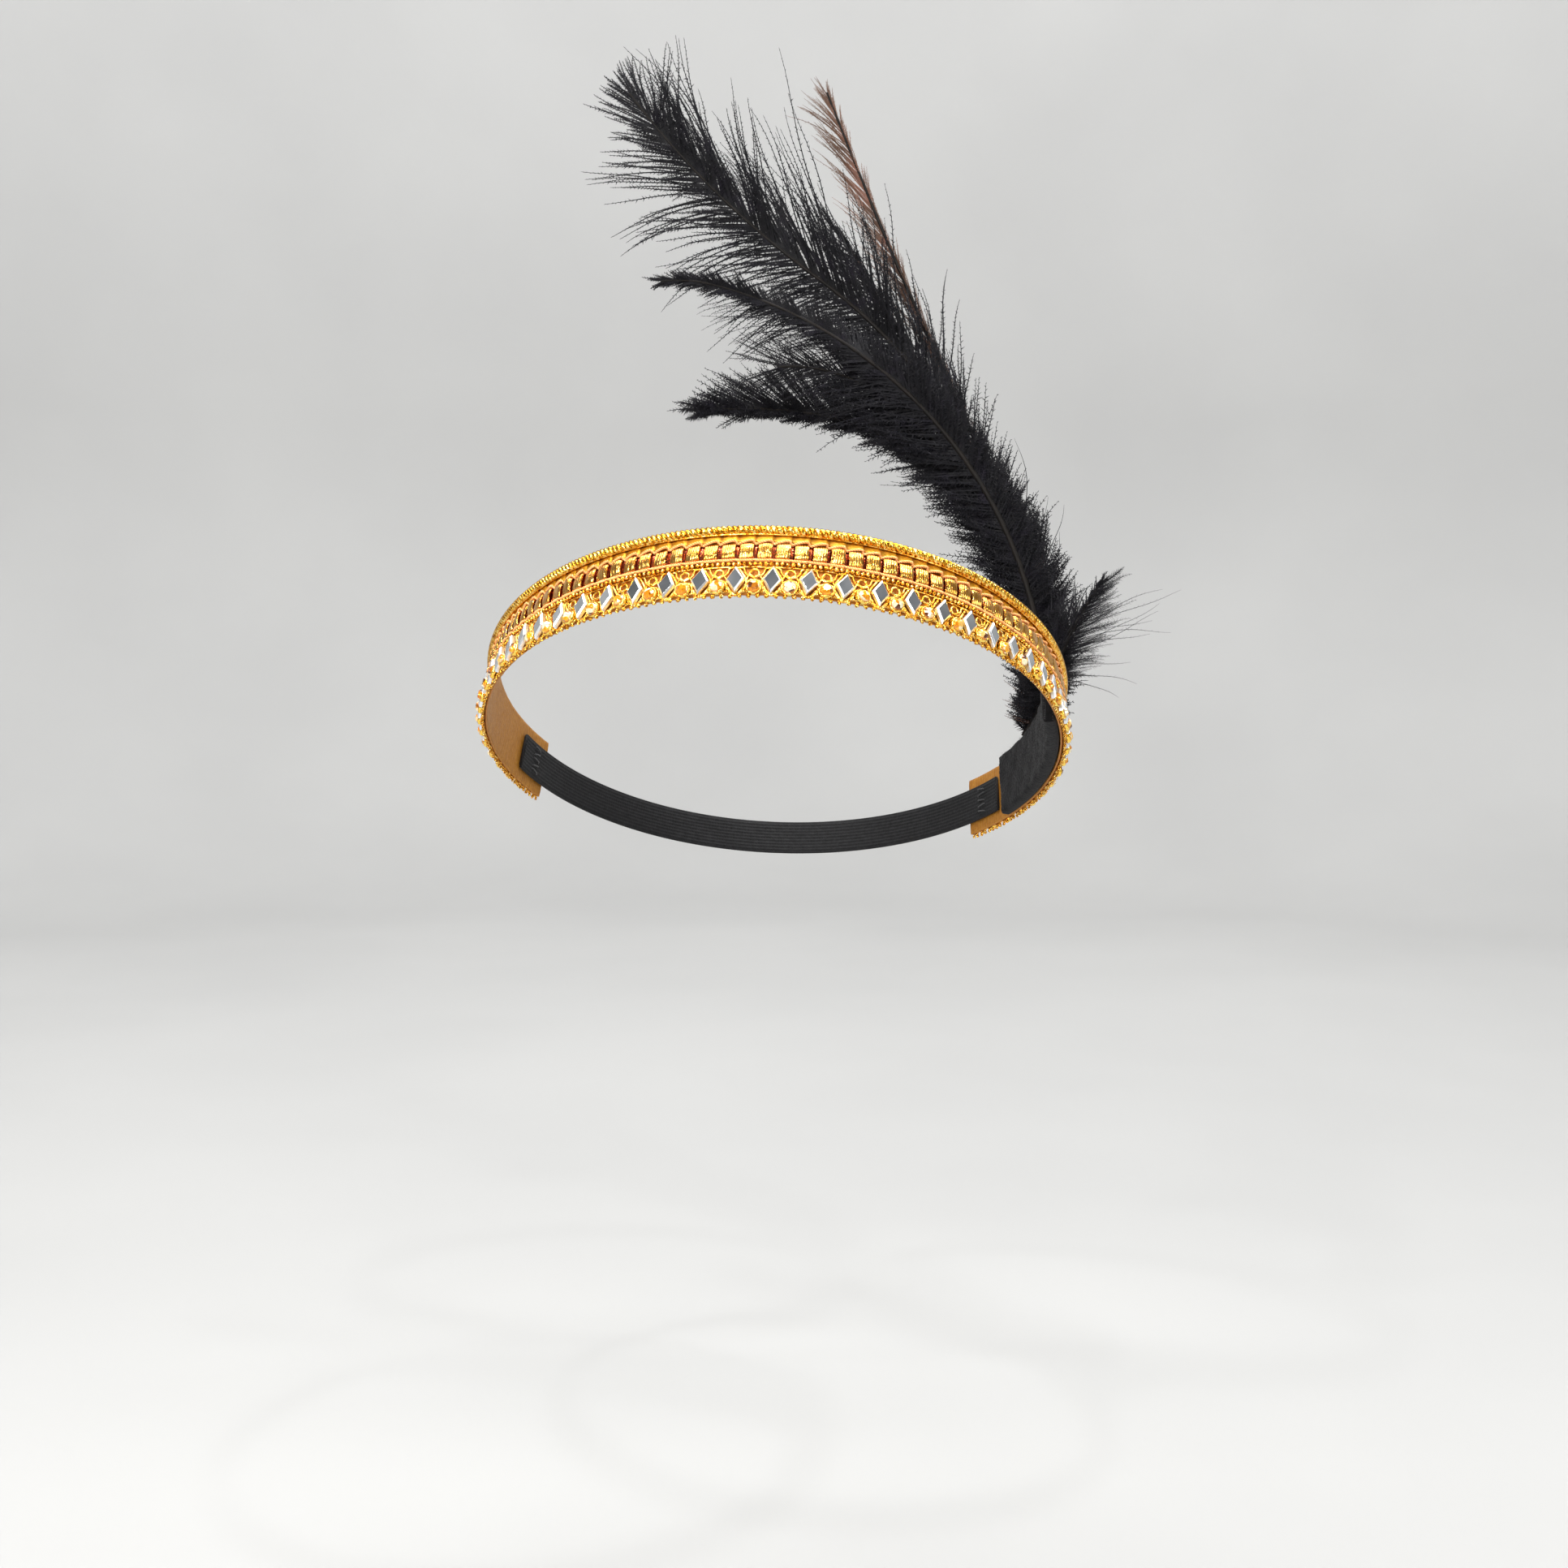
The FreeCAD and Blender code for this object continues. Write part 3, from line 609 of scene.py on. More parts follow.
def make_diamonds():
    rng = np.random.default_rng(3)
    axes = stone_axes(rng, DIAMONDS, (-6.0, 5.0), 0.03)
    places = band(DIAMONDS, SEAT, DIAMOND_ACROSS)
    corners = np.array([(2.0, 0), (0, 3.2), (-2.0, 0), (0, -3.2)])
    layers = [(0.96, 0.0), (1.02, 0.1), (1.02, 0.86), (0.99, 0.95), (0.81, 1.24), (0.795, 1.25)]
    rings = np.array([[(x * k, y * k, h) for x, y in corners] for k, h in layers])
    # every ring but the table's takes tone 1, so the sides and bevels get the painted highlight
    tone = np.array([1.0, 1.0, 1.0, 1.0, 1.0, 0.0])[:, None]
    stones = shell(stamp(rings, places, axes), tone)
    build([stones], "mirror_diamond_stones", MIRROR, "mirror_diamonds", smooth=False)


def make_rounds():
    rng = np.random.default_rng(4)
    axes = stone_axes(rng, ROUNDS, (0.0, 20.0), 0.13)
    places = band(ROUNDS, SEAT, ROUND_ACROSS)
    angle = circle(16)
    corner = np.arange(16) % 2 == 0
    girdle = np.stack([1.5 * np.cos(angle), 1.5 * np.sin(angle)], -1)
    spread = np.where(corner, 0.86, 0.68 * math.cos(math.pi / 8))
    table = np.stack([spread * np.cos(angle), spread * np.sin(angle)], -1)
    middle = girdle * np.where(corner, 0.86, 0.8)[:, None]
    layers = [(girdle, 0.0), (girdle, 0.9), (middle, 1.35), (table, 1.8)]
    rings = np.array([np.column_stack([ring, np.full(16, h)]) for ring, h in layers])
    tone = np.array([1.0, 1.0, 0.0, 0.0])[:, None]
    stones = shell(stamp(rings, places, axes), tone)
    build([stones], "round_foil_stones", AMBER, "round_stones", smooth=False)
    # a cup is a ring turned from its closed section, with a rim of eight claws
    section = [(1.52, 0.0), (1.5, 0.72), (1.56, 0.94), (1.68, 0.94), (1.78, 0.7), (1.8, 0.0)]
    radius, height = np.array(section).T
    angle = np.linspace(0, 2 * math.pi, 33)[:, None]
    claws = 1 + 0.12 * np.cos(8 * angle)
    rings = np.stack([radius * np.cos(angle), radius * np.sin(angle), height * claws], -1)
    build([shell(stamp(rings, places, axes))], "foil_cup_rings", FOIL, "foil_cups")


def smooth_path(points, count):
    """A round-cornered path through points, by repeated corner cutting."""
    points = np.asarray(points, float)
    for _ in range(3):
        first, second = points[:-1], points[1:]
        cut = np.stack([first * 0.75 + second * 0.25, first * 0.25 + second * 0.75], 1)
        cut = cut.reshape(-1, points.shape[1])
        points = np.concatenate([points[:1], cut, points[-1:]])
    return resample(points, count)


def make_scrolls():
    rng = np.random.default_rng(21)
    half = STONE_PITCH / 2
    angle = np.linspace(0, 2 * math.pi * 1.2, 34)
    curl = 0.86 + 0.22 * angle / angle[-1]
    spiral = np.stack([curl * np.sin(angle), -3.25 - curl * np.cos(angle), 0.3 + 0 * angle], -1)
    # from the spiral's end the thread runs out beside the round stone, then under the diamond
    tail = [(1.5, -4.2, 0.0), (1.8, -5.3, 0.0), (2.0, -6.6, 0.0), (2.6, -7.9, 0.05), (half, -8.5, 0.1)]
    right = np.concatenate([spiral, tail])
    left = right * [-1, 1, 1]
    diamond = [
        (half, -1.3, 0), (half - 1.2, -3.0, 0), (half - 2.4, -5.15, 0), (half - 1.3, -7.3, 0),
        (half, -8.6, 0),
    ]
    arch = [
        (-2.0, -7.3, 0.2), (-1.8, -5.75, 0.2), (-0.9, -4.9, 0.25),
        (0.9, -4.9, 0.25), (1.8, -5.75, 0.2), (2.0, -7.3, 0.2),
    ]
    filler = [
        (half - 0.5, -1.6, 0.0), (half - 1.7, -1.8, 0.2), (half - 1.9, -3.0, 0.1), (half - 2.6, -3.6, 0.0),
    ]
    far_diamond, far_filler = ([(half * 2 - x, y, z) for x, y, z in curve] for curve in (diamond, filler))
    threads = []
    for curve, radius in (
        (right, 0.28), (left, 0.26), (diamond, 0.3), (far_diamond, 0.3), (arch, 0.27),
        (filler, 0.22), (far_filler, 0.22),
    ):
        path = smooth_path(curve, 60)
        where = ROUNDS[:, None] + path[None, :, 0] + rng.normal(0, 0.05, (len(ROUNDS), 1))
        across = path[None, :, 1] + rng.normal(0, 0.05, (len(ROUNDS), 1))
        outward = RIBBON + 0.3 + path[None, :, 2] + 0 * where
        keep = np.abs(where).max(1) < TRIM_END - 0.5
        points = band(where[keep], outward[keep], across[keep])
        normals = band_axes(where[keep])[2]
        ply = 1 + 0.12 * np.sin(np.linspace(0, 60, 60))[None]
        threads.append(tubes(points, normals, radius * ply))
    build(threads, "scroll_gimp_threads", GIMP_GOLD, "scroll_gimp")


def make_picot():
    """A chain of small loops along the lower edge that dips under every stone."""
    loop = 1.9125
    angle = np.linspace(-TRIM_END, TRIM_END, 5200) / loop * 2 * math.pi
    drift = angle * loop / (2 * math.pi)
    where = np.clip(drift + 0.62 * np.sin(angle), -TRIM_END, TRIM_END)
    dip = 0.22 * np.cos(2 * math.pi * (drift - ROUNDS[0]) / STONE_PITCH * 2)
    across = -8.36 + 0.58 * np.cos(angle) - dip
    outward = RIBBON + 0.38 + 0.06 * np.sin(angle * 0.5)
    cord = twisted(where, outward, across, 0.37, 2, 1.0, sides=5)
    build([cord], "picot_edge_loops", GIMP_GOLD, "lower_picot_edge")


# ---------------------------------------------------------------- elastic, felt, stitches and bindings


def make_elastic():
    travelled = stations(0.3, length_at(ELASTIC_TURN), length_at(360.0 - ELASTIC_TURN))
    across = np.linspace(5.0, -5.0, 41)
    ribs = 0.1 * np.cos(2 * math.pi * (across + 5) / 1.0)[None]
    knit = 0.05 * np.cos(2 * math.pi * travelled / 0.9)[:, None] * np.sign(ribs)
    edge = 1 - np.abs(across / 5.0) ** 10 * 0.5
    outer = -0.64 + 0.48 * edge + ribs * 0.8 + knit
    inner = -0.64 - 0.48 * edge - ribs * 0.8 - knit
    strip = shell(strip_rings(travelled, outer, inner, across))
    obj = build([strip], "ribbed_elastic", BLACK_ELASTIC, "elastic_back")


def make_felt():
    rng = np.random.default_rng(31)
    start, end = map(length_at, PAD_TURNS)
    pocket = [length_at(turn) for turn in POCKET_TURNS]
    travelled = stations(0.25, start, end)
    across = np.linspace(HALF_TRIM, -HALF_TRIM, 61)
    s, a = np.meshgrid(travelled, across, indexing="ij")
    inside = np.clip((s - pocket[0]) / 0.6, 0, 1) * np.clip((pocket[1] - s) / 0.6, 0, 1)
    inside = inside * np.clip((a + 7.0) / 0.6, 0, 1)
    rim = np.minimum(np.minimum(s - start, end - s) / 1.2, (HALF_TRIM - np.abs(a)) / 1.2)
    rim = np.clip(rim, 0, 1)
    rim = np.sqrt(1 - (1 - rim) ** 2)
    lumps = 0.06 * rng.standard_normal(s.shape)
    outer = -0.12 - 2.33 * inside - 0.8 * (1 - rim) * (1 - inside)
    inner = -3.45 + 0.9 * (1 - rim) + lumps + 0.12 * np.sin(s * 0.7) * np.sin(a * 0.6)
    face, back = band(s, outer, a), band(s, inner[:, ::-1], a[:, ::-1])
    pad = shell(np.concatenate([face, back], 1)[None])
    # loose fibres that stand off the felt's inner face and its edges
    count = 1500
    root_s = rng.uniform(start + 1, end - 1, count)
    root_a = rng.uniform(-8.2, 8.2, count)
    t = np.linspace(0, 1, 4)
    drift = rng.normal(0, 0.7, (count, 2))
    paths = band(
        root_s[:, None] + drift[:, :1] * t, -3.4 - 0.5 * t * (1 - 0.5 * t) + 0 * root_s[:, None],
        np.clip(root_a[:, None] + drift[:, 1:] * t, -8.6, 8.6),
    )
    fibres = tubes(paths, band_axes(root_s[:, None] + 0 * t)[1], 0.03 * (1 - 0.8 * t)[None], 3)
    obj = build([pad, fibres], "felt_pad", BLACK_FELT, "felt_backing_pad")


def make_stitches():
    seam = (length_at(ELASTIC_TURN) + TRIM_END) / 2
    heights = np.array([-3.333, -1.667, 0.0, 1.667, 3.333])
    lean = np.array([0.35, -0.2, 0.3, -0.3, 0.25])[:, None]
    t = np.linspace(-1, 1, 13)
    for side, name in ((1, "left"), (-1, "right")):
        where = side * seam + 1.6 * t[None] + 0 * lean
        outward = -1.66 + 0.34 * np.abs(t[None]) ** 6 + 0 * lean
        across = heights[:, None] + lean * t[None]
        paths = band(where, outward, across)
        _, ups, normals = band_axes(where)
        plies = []
        for ply in (0.0, math.pi):
            phase = (t * 9 + ply)[None, :, None]
            shift = normals * (0.1 * np.cos(phase)) + ups * (0.1 * np.sin(phase))
            plies.append(tubes(paths + shift, normals, 0.13))
        build(plies, f"seam_threads_{name}", BLACK_THREAD, f"elastic_stitches_{name}")


# the quills stand this far inside the ribbon's inner face and leave the pocket at this height
QUILL_OUT, QUILL_TOP = -1.2, 9.9


def feather_travel(index):
    """Where along the loop a feather stands, the foremost first."""
    return length_at(FIRST_FEATHER_TURN + FEATHER_STEP * index)


def make_bindings():
    """Thread whipped round the lower end of each quill."""
    foot, top, pitch = -5.1, 8.9, 0.36
    turns = (top - foot) / pitch
    t = np.linspace(0, 1, int(turns * 9))
    angle = 2 * math.pi * turns * t
    across = foot + 0.2 + (top - foot - 0.4) * t
    parts = []
    for index in range(7):
        where = feather_travel(index)
        along, _, out = band_axes(where)
        line = band(where, QUILL_OUT, across)
        coil = along * np.cos(angle)[:, None] + out * np.sin(angle)[:, None]
        parts.append(tubes((line + coil * 0.86)[None], coil[None], 0.17, 5))
        core = band(where, QUILL_OUT, np.linspace(foot, top, 8))
        parts.append(tubes(core[None], out, 0.84, 12))
    build(parts, "quill_whippings", BLACK_THREAD, "quill_bindings")


# ---------------------------------------------------------------- feathers


class Quill:
    """A feather's centreline: two arcs in its own upright plane."""

    def __init__(self, index, root_lean, bend_lean, tip_lean, lower, upper):
        self.root = band(feather_travel(index), QUILL_OUT, QUILL_TOP)
        self.leans = np.radians([root_lean, bend_lean, tip_lean])
        self.lower, self.upper = lower, upper
        self.length = lower + upper

    @staticmethod
    def arc(start, lean, change, travelled):
        bend = lean + change * travelled
        x = (np.cos(bend) - math.cos(lean)) / change
        z = (np.sin(bend) - math.sin(lean)) / change
        return start + np.stack([x, 0 * x, z], -1), bend

    def at(self, travelled):
        """Points on the quill and its lean there, from upright towards the head."""
        root, middle, tip = self.leans
        first = (middle - root) / self.lower
        second = (tip - middle) / self.upper
        bend = self.arc(self.root, root, first, np.array([self.lower]))[0][0]
        below = self.arc(self.root, root, first, np.minimum(travelled, self.lower))
        above = self.arc(bend, middle, second, np.maximum(travelled - self.lower, 0))
        low = travelled <= self.lower
        return np.where(low[..., None], below[0], above[0]), np.where(low, below[1], above[1])


QUILLS = {
    "side_marabou": Quill(0, -12.0, -30.0, -34.0, 22.0, 12.0),
    "short_hackle": Quill(1, 2.0, 76.0, 98.0, 150.0, 14.0),
    "ragged_plume": Quill(2, 0.0, 57.0, 96.0, 100.0, 27.0),
    "ostrich_plume": Quill(3, 0.0, 55.0, 38.0, 137.0, 68.0),
    "low_plume": Quill(4, -10.0, 78.0, 98.0, 110.0, 36.0),
    "bronze_feather": Quill(5, -22.0, 27.0, 22.0, 54.0, 131.0),
    "back_hackle": Quill(6, -25.0, 34.0, 30.0, 66.0, 88.0),
}
FORWARD = np.array([0.0, 1.0, 0.0])


def table(share, pairs):
    places, values = zip(*pairs)
    return np.interp(share, places, values)


def grow(rng, quill, side, count, span, length, angle, bend, splay=24.0, clump=3.0, wave=3.0, jitter=1.0):
    """Centrelines of the barbs on one side of a quill; side 1 is the outer one, away from the head.

    They start within a span of the quill, in shares of its length. Their lengths in mm, the angles they
    leave it at and how far they bend, both in degrees, are tables over the same shares. Splay is how far
    they stand out of the quill's plane, and clump how many lie together.
    """
    steps = 12
    share = np.linspace(*span, count) + rng.normal(0, 0.3 * (span[1] - span[0]) / count, count)
    share = np.clip(share, *span)
    root, lean = quill.at(share * quill.length)
    bunch = np.cumsum(rng.random(count) < 1.0 / clump)
    shared = rng.standard_normal((bunch[-1] + 1, 4))[bunch] * jitter
    own = rng.standard_normal((count, 4)) * jitter
    reach = table(share, length) * np.exp(0.1 * shared[:, 1] + 0.08 * own[:, 1])
    t = np.linspace(0, 1, steps + 1)[None]
    start = table(share, angle) + 2.0 * shared[:, 0] + 1.5 * own[:, 0]
    turn = table(share, bend) + 7.0 * shared[:, 0] + 4.0 * own[:, 0]
    heading = start[:, None] + turn[:, None] * t + wave * np.sin(2 * math.pi * (t * 1.2 + own[:, 3:])) * t
    heading = lean[:, None] - side * np.radians(heading)
    tip = splay * (0.8 * shared[:, 2] + 0.7 * own[:, 2])[:, None]
    rise = np.clip(np.radians(tip * (0.6 + 0.6 * t)), -1.2, 1.2)
    way = np.stack([-np.sin(heading) * np.cos(rise), np.sin(rise), np.cos(heading) * np.cos(rise)], -1)
    middle = (way[:, 1:] + way[:, :-1]) / 2 * (reach / steps)[:, None, None]
    return np.concatenate([root[:, None], root[:, None] + np.cumsum(middle, 1)], 1)


# the angle at which barbules leave their barb and how far they roll round it, in degrees
BARBULE_ANGLE, BARBULE_ROLL = 48.0, 35.0


def barbules(rng, paths, count, length, width):
    """Fine side hairs along barbs, each a thin closed spike."""
    total, points = paths.shape[:2]
    t = np.linspace(0.05, 0.985, count)[None] + rng.normal(0, 0.3 / count, (total, count))
    t = np.clip(t, 0, 0.999) * (points - 1)
    low = t.astype(int)
    part = (t - low)[..., None]
    rows = np.arange(total)[:, None]
    base = paths[rows, low] * (1 - part) + paths[rows, low + 1] * part
    along = unit(paths[rows, low + 1] - paths[rows, low])
    side = unit(np.cross(along, FORWARD))
    face = np.cross(side, along)
    flip = np.where(np.arange(count) % 2 == 0, 0.0, math.pi)[None]
    roll = flip + np.radians(rng.normal(0, BARBULE_ROLL, (total, count)))
    out = side * np.cos(roll)[..., None] + face * np.sin(roll)[..., None]
    tilt = np.radians(rng.normal(BARBULE_ANGLE, 10, (total, count)))[..., None]
    way = along * np.cos(tilt) + out * np.sin(tilt)
    share = t / (points - 1)
    fade = np.clip((1.06 - share) / 0.35, 0.25, 1) * np.clip(share / 0.12 + 0.45, 0, 1)
    long = (length * fade * rng.uniform(0.7, 1.25, (total, count)))[..., None]
    third = unit(np.cross(way, along)) * width * 0.5
    corner = along * width * 0.5
    spikes = np.stack([base - corner, base + corner, base + third, base + way * long], 2).reshape(-1, 3)
    first = np.arange(total * count)[:, None] * 4
    faces = np.concatenate([first + f for f in ([0, 2, 1], [0, 1, 3], [1, 2, 3], [2, 0, 3])])
    u = (rows[..., None] + np.array([0.1, 0.5, 0.3, 0.9])) / total + 0 * share[..., None]
    v = share[..., None] + np.array([-0.4, 0.4, 0.0, 0.2]) / count
    return spikes, [faces], np.stack([u, np.clip(v, 0, 1)], -1)


def hairy(rng, paths, thick, hairs, hair, hair_width, tone=(0.0, 0.35)):
    """Barbs and their barbules; tone goes from root to tip."""
    points = paths.shape[1]
    t = np.linspace(0, 1, points)
    shade = np.broadcast_to(tone[0] + (tone[1] - tone[0]) * t, paths.shape[:2])
    radii = thick * (1 - 0.82 * t ** 1.3)
    stems = tubes(paths, FORWARD, radii[None], 3, shade)
    return stems, (*barbules(rng, paths, hairs, hair, hair_width), tone[0] + (tone[1] - tone[0]) * 0.5)


def barbs(look, *lie, **loose):
    """One row of a feather's barbs: how thick and hairy they are, and what grow needs."""
    return look, lie, loose


def feather(name, seed, rows, paint=BLACK_BARBS):
    """One feather's barbs, as a piece that stands for its CAD vane."""
    rng = np.random.default_rng(seed)
    quill = QUILLS[name]
    parts = []
    for look, lie, loose in rows:
        parts += hairy(rng, grow(rng, quill, *lie, **loose), **look)
    build(parts, f"{name}_barbs", paint, f"{name}_vane", name, smooth=False)


def make_ostrich():
    plume = dict(thick=0.25, hairs=52, hair=0.95, hair_width=0.36)
    core = dict(thick=0.24, hairs=30, hair=1.3, hair_width=0.36)
    down = dict(thick=0.22, hairs=26, hair=1.6, hair_width=0.36)
    feather("ostrich_plume", 41, [
        barbs(plume, -1, 135, (0.42, 0.995),
            [(0.42, 20), (0.6, 29), (0.75, 30), (0.88, 24), (0.96, 15), (1.0, 7)],
            [(0.42, 54), (0.7, 50), (0.9, 36), (1.0, 14)],
            [(0.42, 2), (0.65, 16), (0.85, 10), (1.0, 3)], splay=13.0, wave=5.0),
        barbs(plume, 1, 185, (0.38, 0.995),
            [(0.38, 22), (0.52, 34), (0.7, 38), (0.84, 32), (0.94, 20), (1.0, 8)],
            [(0.38, 34), (0.55, 33), (0.7, 31), (0.9, 33), (1.0, 16)],
            [(0.38, -18), (0.6, -20), (0.8, -14), (1.0, 4)], splay=12.0, clump=2.0, wave=9.0,
            jitter=1.3),
        barbs(core, -1, 150, (0.4, 0.95), [(0.4, 16), (0.7, 16), (0.95, 9)], [(0.4, 50), (0.95, 36)],
            [(0.4, -8), (0.95, 0)], splay=20.0),
        barbs(core, 1, 170, (0.4, 0.95), [(0.4, 24), (0.7, 24), (0.95, 10)], [(0.4, 40), (0.95, 32)],
            [(0.4, -20), (0.95, -8)], splay=20.0, jitter=1.3),
        barbs(down, -1, 110, (0.008, 0.42), [(0.008, 6), (0.05, 9), (0.1, 10), (0.3, 15), (0.42, 20)],
            [(0.008, 100), (0.04, 66), (0.42, 50)], [(0.02, -10), (0.42, -4)], splay=26.0),
        barbs(down, 1, 110, (0.008, 0.4), [(0.008, 6), (0.05, 9), (0.1, 9), (0.25, 10), (0.4, 20)],
            [(0.008, 96), (0.04, 56), (0.4, 34)], [(0.02, 6), (0.4, -18)], splay=26.0),
    ])


def make_short_hackle():
    hackle = dict(thick=0.22, hairs=14, hair=0.9, hair_width=0.3)
    down = dict(thick=0.22, hairs=26, hair=1.7, hair_width=0.36)
    wisp = dict(thick=0.14, hairs=34, hair=0.8, hair_width=0.2)
    feather("short_hackle", 42, [
        barbs(hackle, -1, 280, (0.52, 0.995), [(0.52, 10), (0.8, 7.0), (1.0, 4.5)],
            [(0.52, 38), (0.9, 30), (1.0, 12)], [(0.52, 8), (1.0, 8)], splay=16.0, clump=6.0),
        barbs(hackle, 1, 280, (0.52, 0.995), [(0.52, 10), (0.8, 6.0), (1.0, 4.5)],
            [(0.52, 38), (0.9, 28), (1.0, 12)], [(0.52, 8), (1.0, 8)], splay=16.0, clump=6.0),
        barbs(down, -1, 220, (0.01, 0.6),
            [(0.01, 6), (0.06, 9), (0.15, 9), (0.35, 16), (0.5, 22), (0.6, 24)],
            [(0.01, 100), (0.05, 64), (0.6, 52)], [(0.03, -10), (0.6, -4)]),
        barbs(down, 1, 200, (0.01, 0.55), [(0.01, 7), (0.06, 9), (0.15, 9), (0.35, 12), (0.55, 15)],
            [(0.01, 96), (0.05, 58), (0.55, 40)], [(0.03, 4), (0.55, -12)]),
        barbs(wisp, -1, 30, (0.58, 0.86), [(0.58, 26), (0.86, 14)], [(0.58, 34), (0.86, 24)],
            [(0.58, 12), (0.86, 14)], splay=14.0, clump=2.0, wave=10.0),
    ])


def make_ragged_plume():
    loose = dict(thick=0.17, hairs=40, hair=0.9, hair_width=0.26)
    down = dict(thick=0.22, hairs=26, hair=1.7, hair_width=0.38)
    feather("ragged_plume", 43, [
        barbs(loose, -1, 80, (0.6, 0.99), [(0.6, 14), (0.8, 19), (1.0, 16)], [(0.6, 40), (1.0, 18)],
            [(0.6, 6), (0.8, 20), (1.0, 22)], splay=18.0, wave=9.0),
        barbs(loose, 1, 80, (0.6, 0.99), [(0.6, 15), (0.8, 15), (1.0, 17)], [(0.6, 40), (1.0, 16)],
            [(0.6, -10), (1.0, -6)], splay=18.0, wave=8.0),
        barbs(down, -1, 320, (0.012, 0.84),
            [(0.012, 6), (0.07, 9), (0.15, 9), (0.4, 15), (0.7, 19), (0.84, 15)],
            [(0.012, 100), (0.05, 64), (0.7, 50), (0.84, 42)], [(0.03, -10), (0.84, 0)], splay=26.0),
        barbs(down, 1, 290, (0.012, 0.84),
            [(0.012, 7), (0.07, 9), (0.15, 10), (0.4, 13), (0.7, 18), (0.84, 15)],
            [(0.012, 96), (0.05, 58), (0.7, 44), (0.86, 34)], [(0.03, 2), (0.86, -12)], splay=26.0),
    ])


def make_low_plume():
    down = dict(thick=0.24, hairs=24, hair=1.6, hair_width=0.38)
    feather("low_plume", 44, [
        barbs(down, -1, 330, (0.01, 0.99), [(0.01, 6), (0.07, 9), (0.2, 8), (0.6, 8), (0.9, 8), (1.0, 5)],
            [(0.01, 96), (0.05, 56), (0.6, 34), (1.0, 16)], [(0.03, -14), (1.0, -10)], splay=26.0,
            clump=4.0),
        barbs(down, 1, 430, (0.01, 0.99),
            [(0.01, 7), (0.07, 10), (0.15, 12), (0.6, 23), (0.85, 19), (1.0, 7)],
            [(0.01, 88), (0.05, 60), (0.6, 46), (1.0, 18)], [(0.03, -4), (1.0, -8)], splay=26.0,
            clump=4.0),
    ])


def make_bronze():
    silk = dict(thick=0.16, hairs=24, hair=0.6, hair_width=0.2, tone=(0.0, 0.9))
    down = dict(thick=0.16, hairs=22, hair=1.0, hair_width=0.2, tone=(0.0, 0.1))
    feather("bronze_feather", 45, [
        barbs(silk, -1, 190, (0.5, 0.99), [(0.5, 14), (0.75, 19), (0.9, 16), (1.0, 5)],
            [(0.5, 15), (0.9, 24), (1.0, 8)], [(0.5, -12), (0.8, 0), (1.0, 8)], splay=7.0, clump=6.0,
            wave=3.0),
        barbs(silk, 1, 110, (0.5, 0.99), [(0.5, 9), (0.8, 9), (1.0, 5)], [(0.5, 12), (1.0, 4)],
            [(0.5, -12), (1.0, -2)], splay=6.0, clump=7.0, wave=2.0),
        barbs(down, -1, 120, (0.01, 0.5), [(0.01, 7), (0.06, 9), (0.3, 10), (0.5, 14)],
            [(0.01, 96), (0.07, 50), (0.5, 28)], [(0.06, -12), (0.5, -14)], splay=22.0, clump=3.5),
        barbs(down, 1, 90, (0.01, 0.5), [(0.01, 7), (0.06, 8), (0.3, 5), (0.5, 7)],
            [(0.01, 92), (0.07, 42), (0.5, 16)], [(0.06, -12), (0.5, -12)], splay=22.0, clump=3.5),
    ], paint=BRONZE_BARBS)


def make_back_hackle():
    vane = dict(thick=0.22, hairs=30, hair=1.0, hair_width=0.32)
    wisp = dict(thick=0.17, hairs=20, hair=0.4, hair_width=0.12)
    down = dict(thick=0.22, hairs=26, hair=1.7, hair_width=0.38)
    feather("back_hackle", 46, [
        barbs(vane, -1, 150, (0.45, 0.99), [(0.45, 22), (0.8, 24), (1.0, 14)],
            [(0.45, 42), (0.9, 28), (1.0, 10)], [(0.45, -10), (1.0, -6)], splay=14.0, wave=4.0),
        barbs(vane, 1, 110, (0.45, 0.99), [(0.45, 6), (0.8, 4), (1.0, 4)], [(0.45, 16), (1.0, 5)],
            [(0.45, -14), (1.0, -6)], splay=8.0, wave=4.0),
        barbs(down, -1, 230, (0.01, 0.56), [(0.01, 6), (0.06, 8), (0.2, 9), (0.56, 22)],
            [(0.01, 84), (0.05, 60), (0.56, 48)], [(0.03, -12), (0.56, -8)], clump=3.5),
        barbs(down, 1, 230, (0.01, 0.5), [(0.01, 8), (0.2, 14), (0.35, 11), (0.5, 8)],
            [(0.01, 76), (0.05, 56), (0.25, 40), (0.5, 22)], [(0.03, 0), (0.5, -14)], clump=2.5,
            jitter=1.3),
        barbs(wisp, 1, 4, (0.26, 0.38), [(0.26, 20), (0.38, 22)], [(0.34, 44), (0.52, 32)],
            [(0.34, -30), (0.52, -24)], splay=8.0, clump=1.0, wave=10.0),
    ])


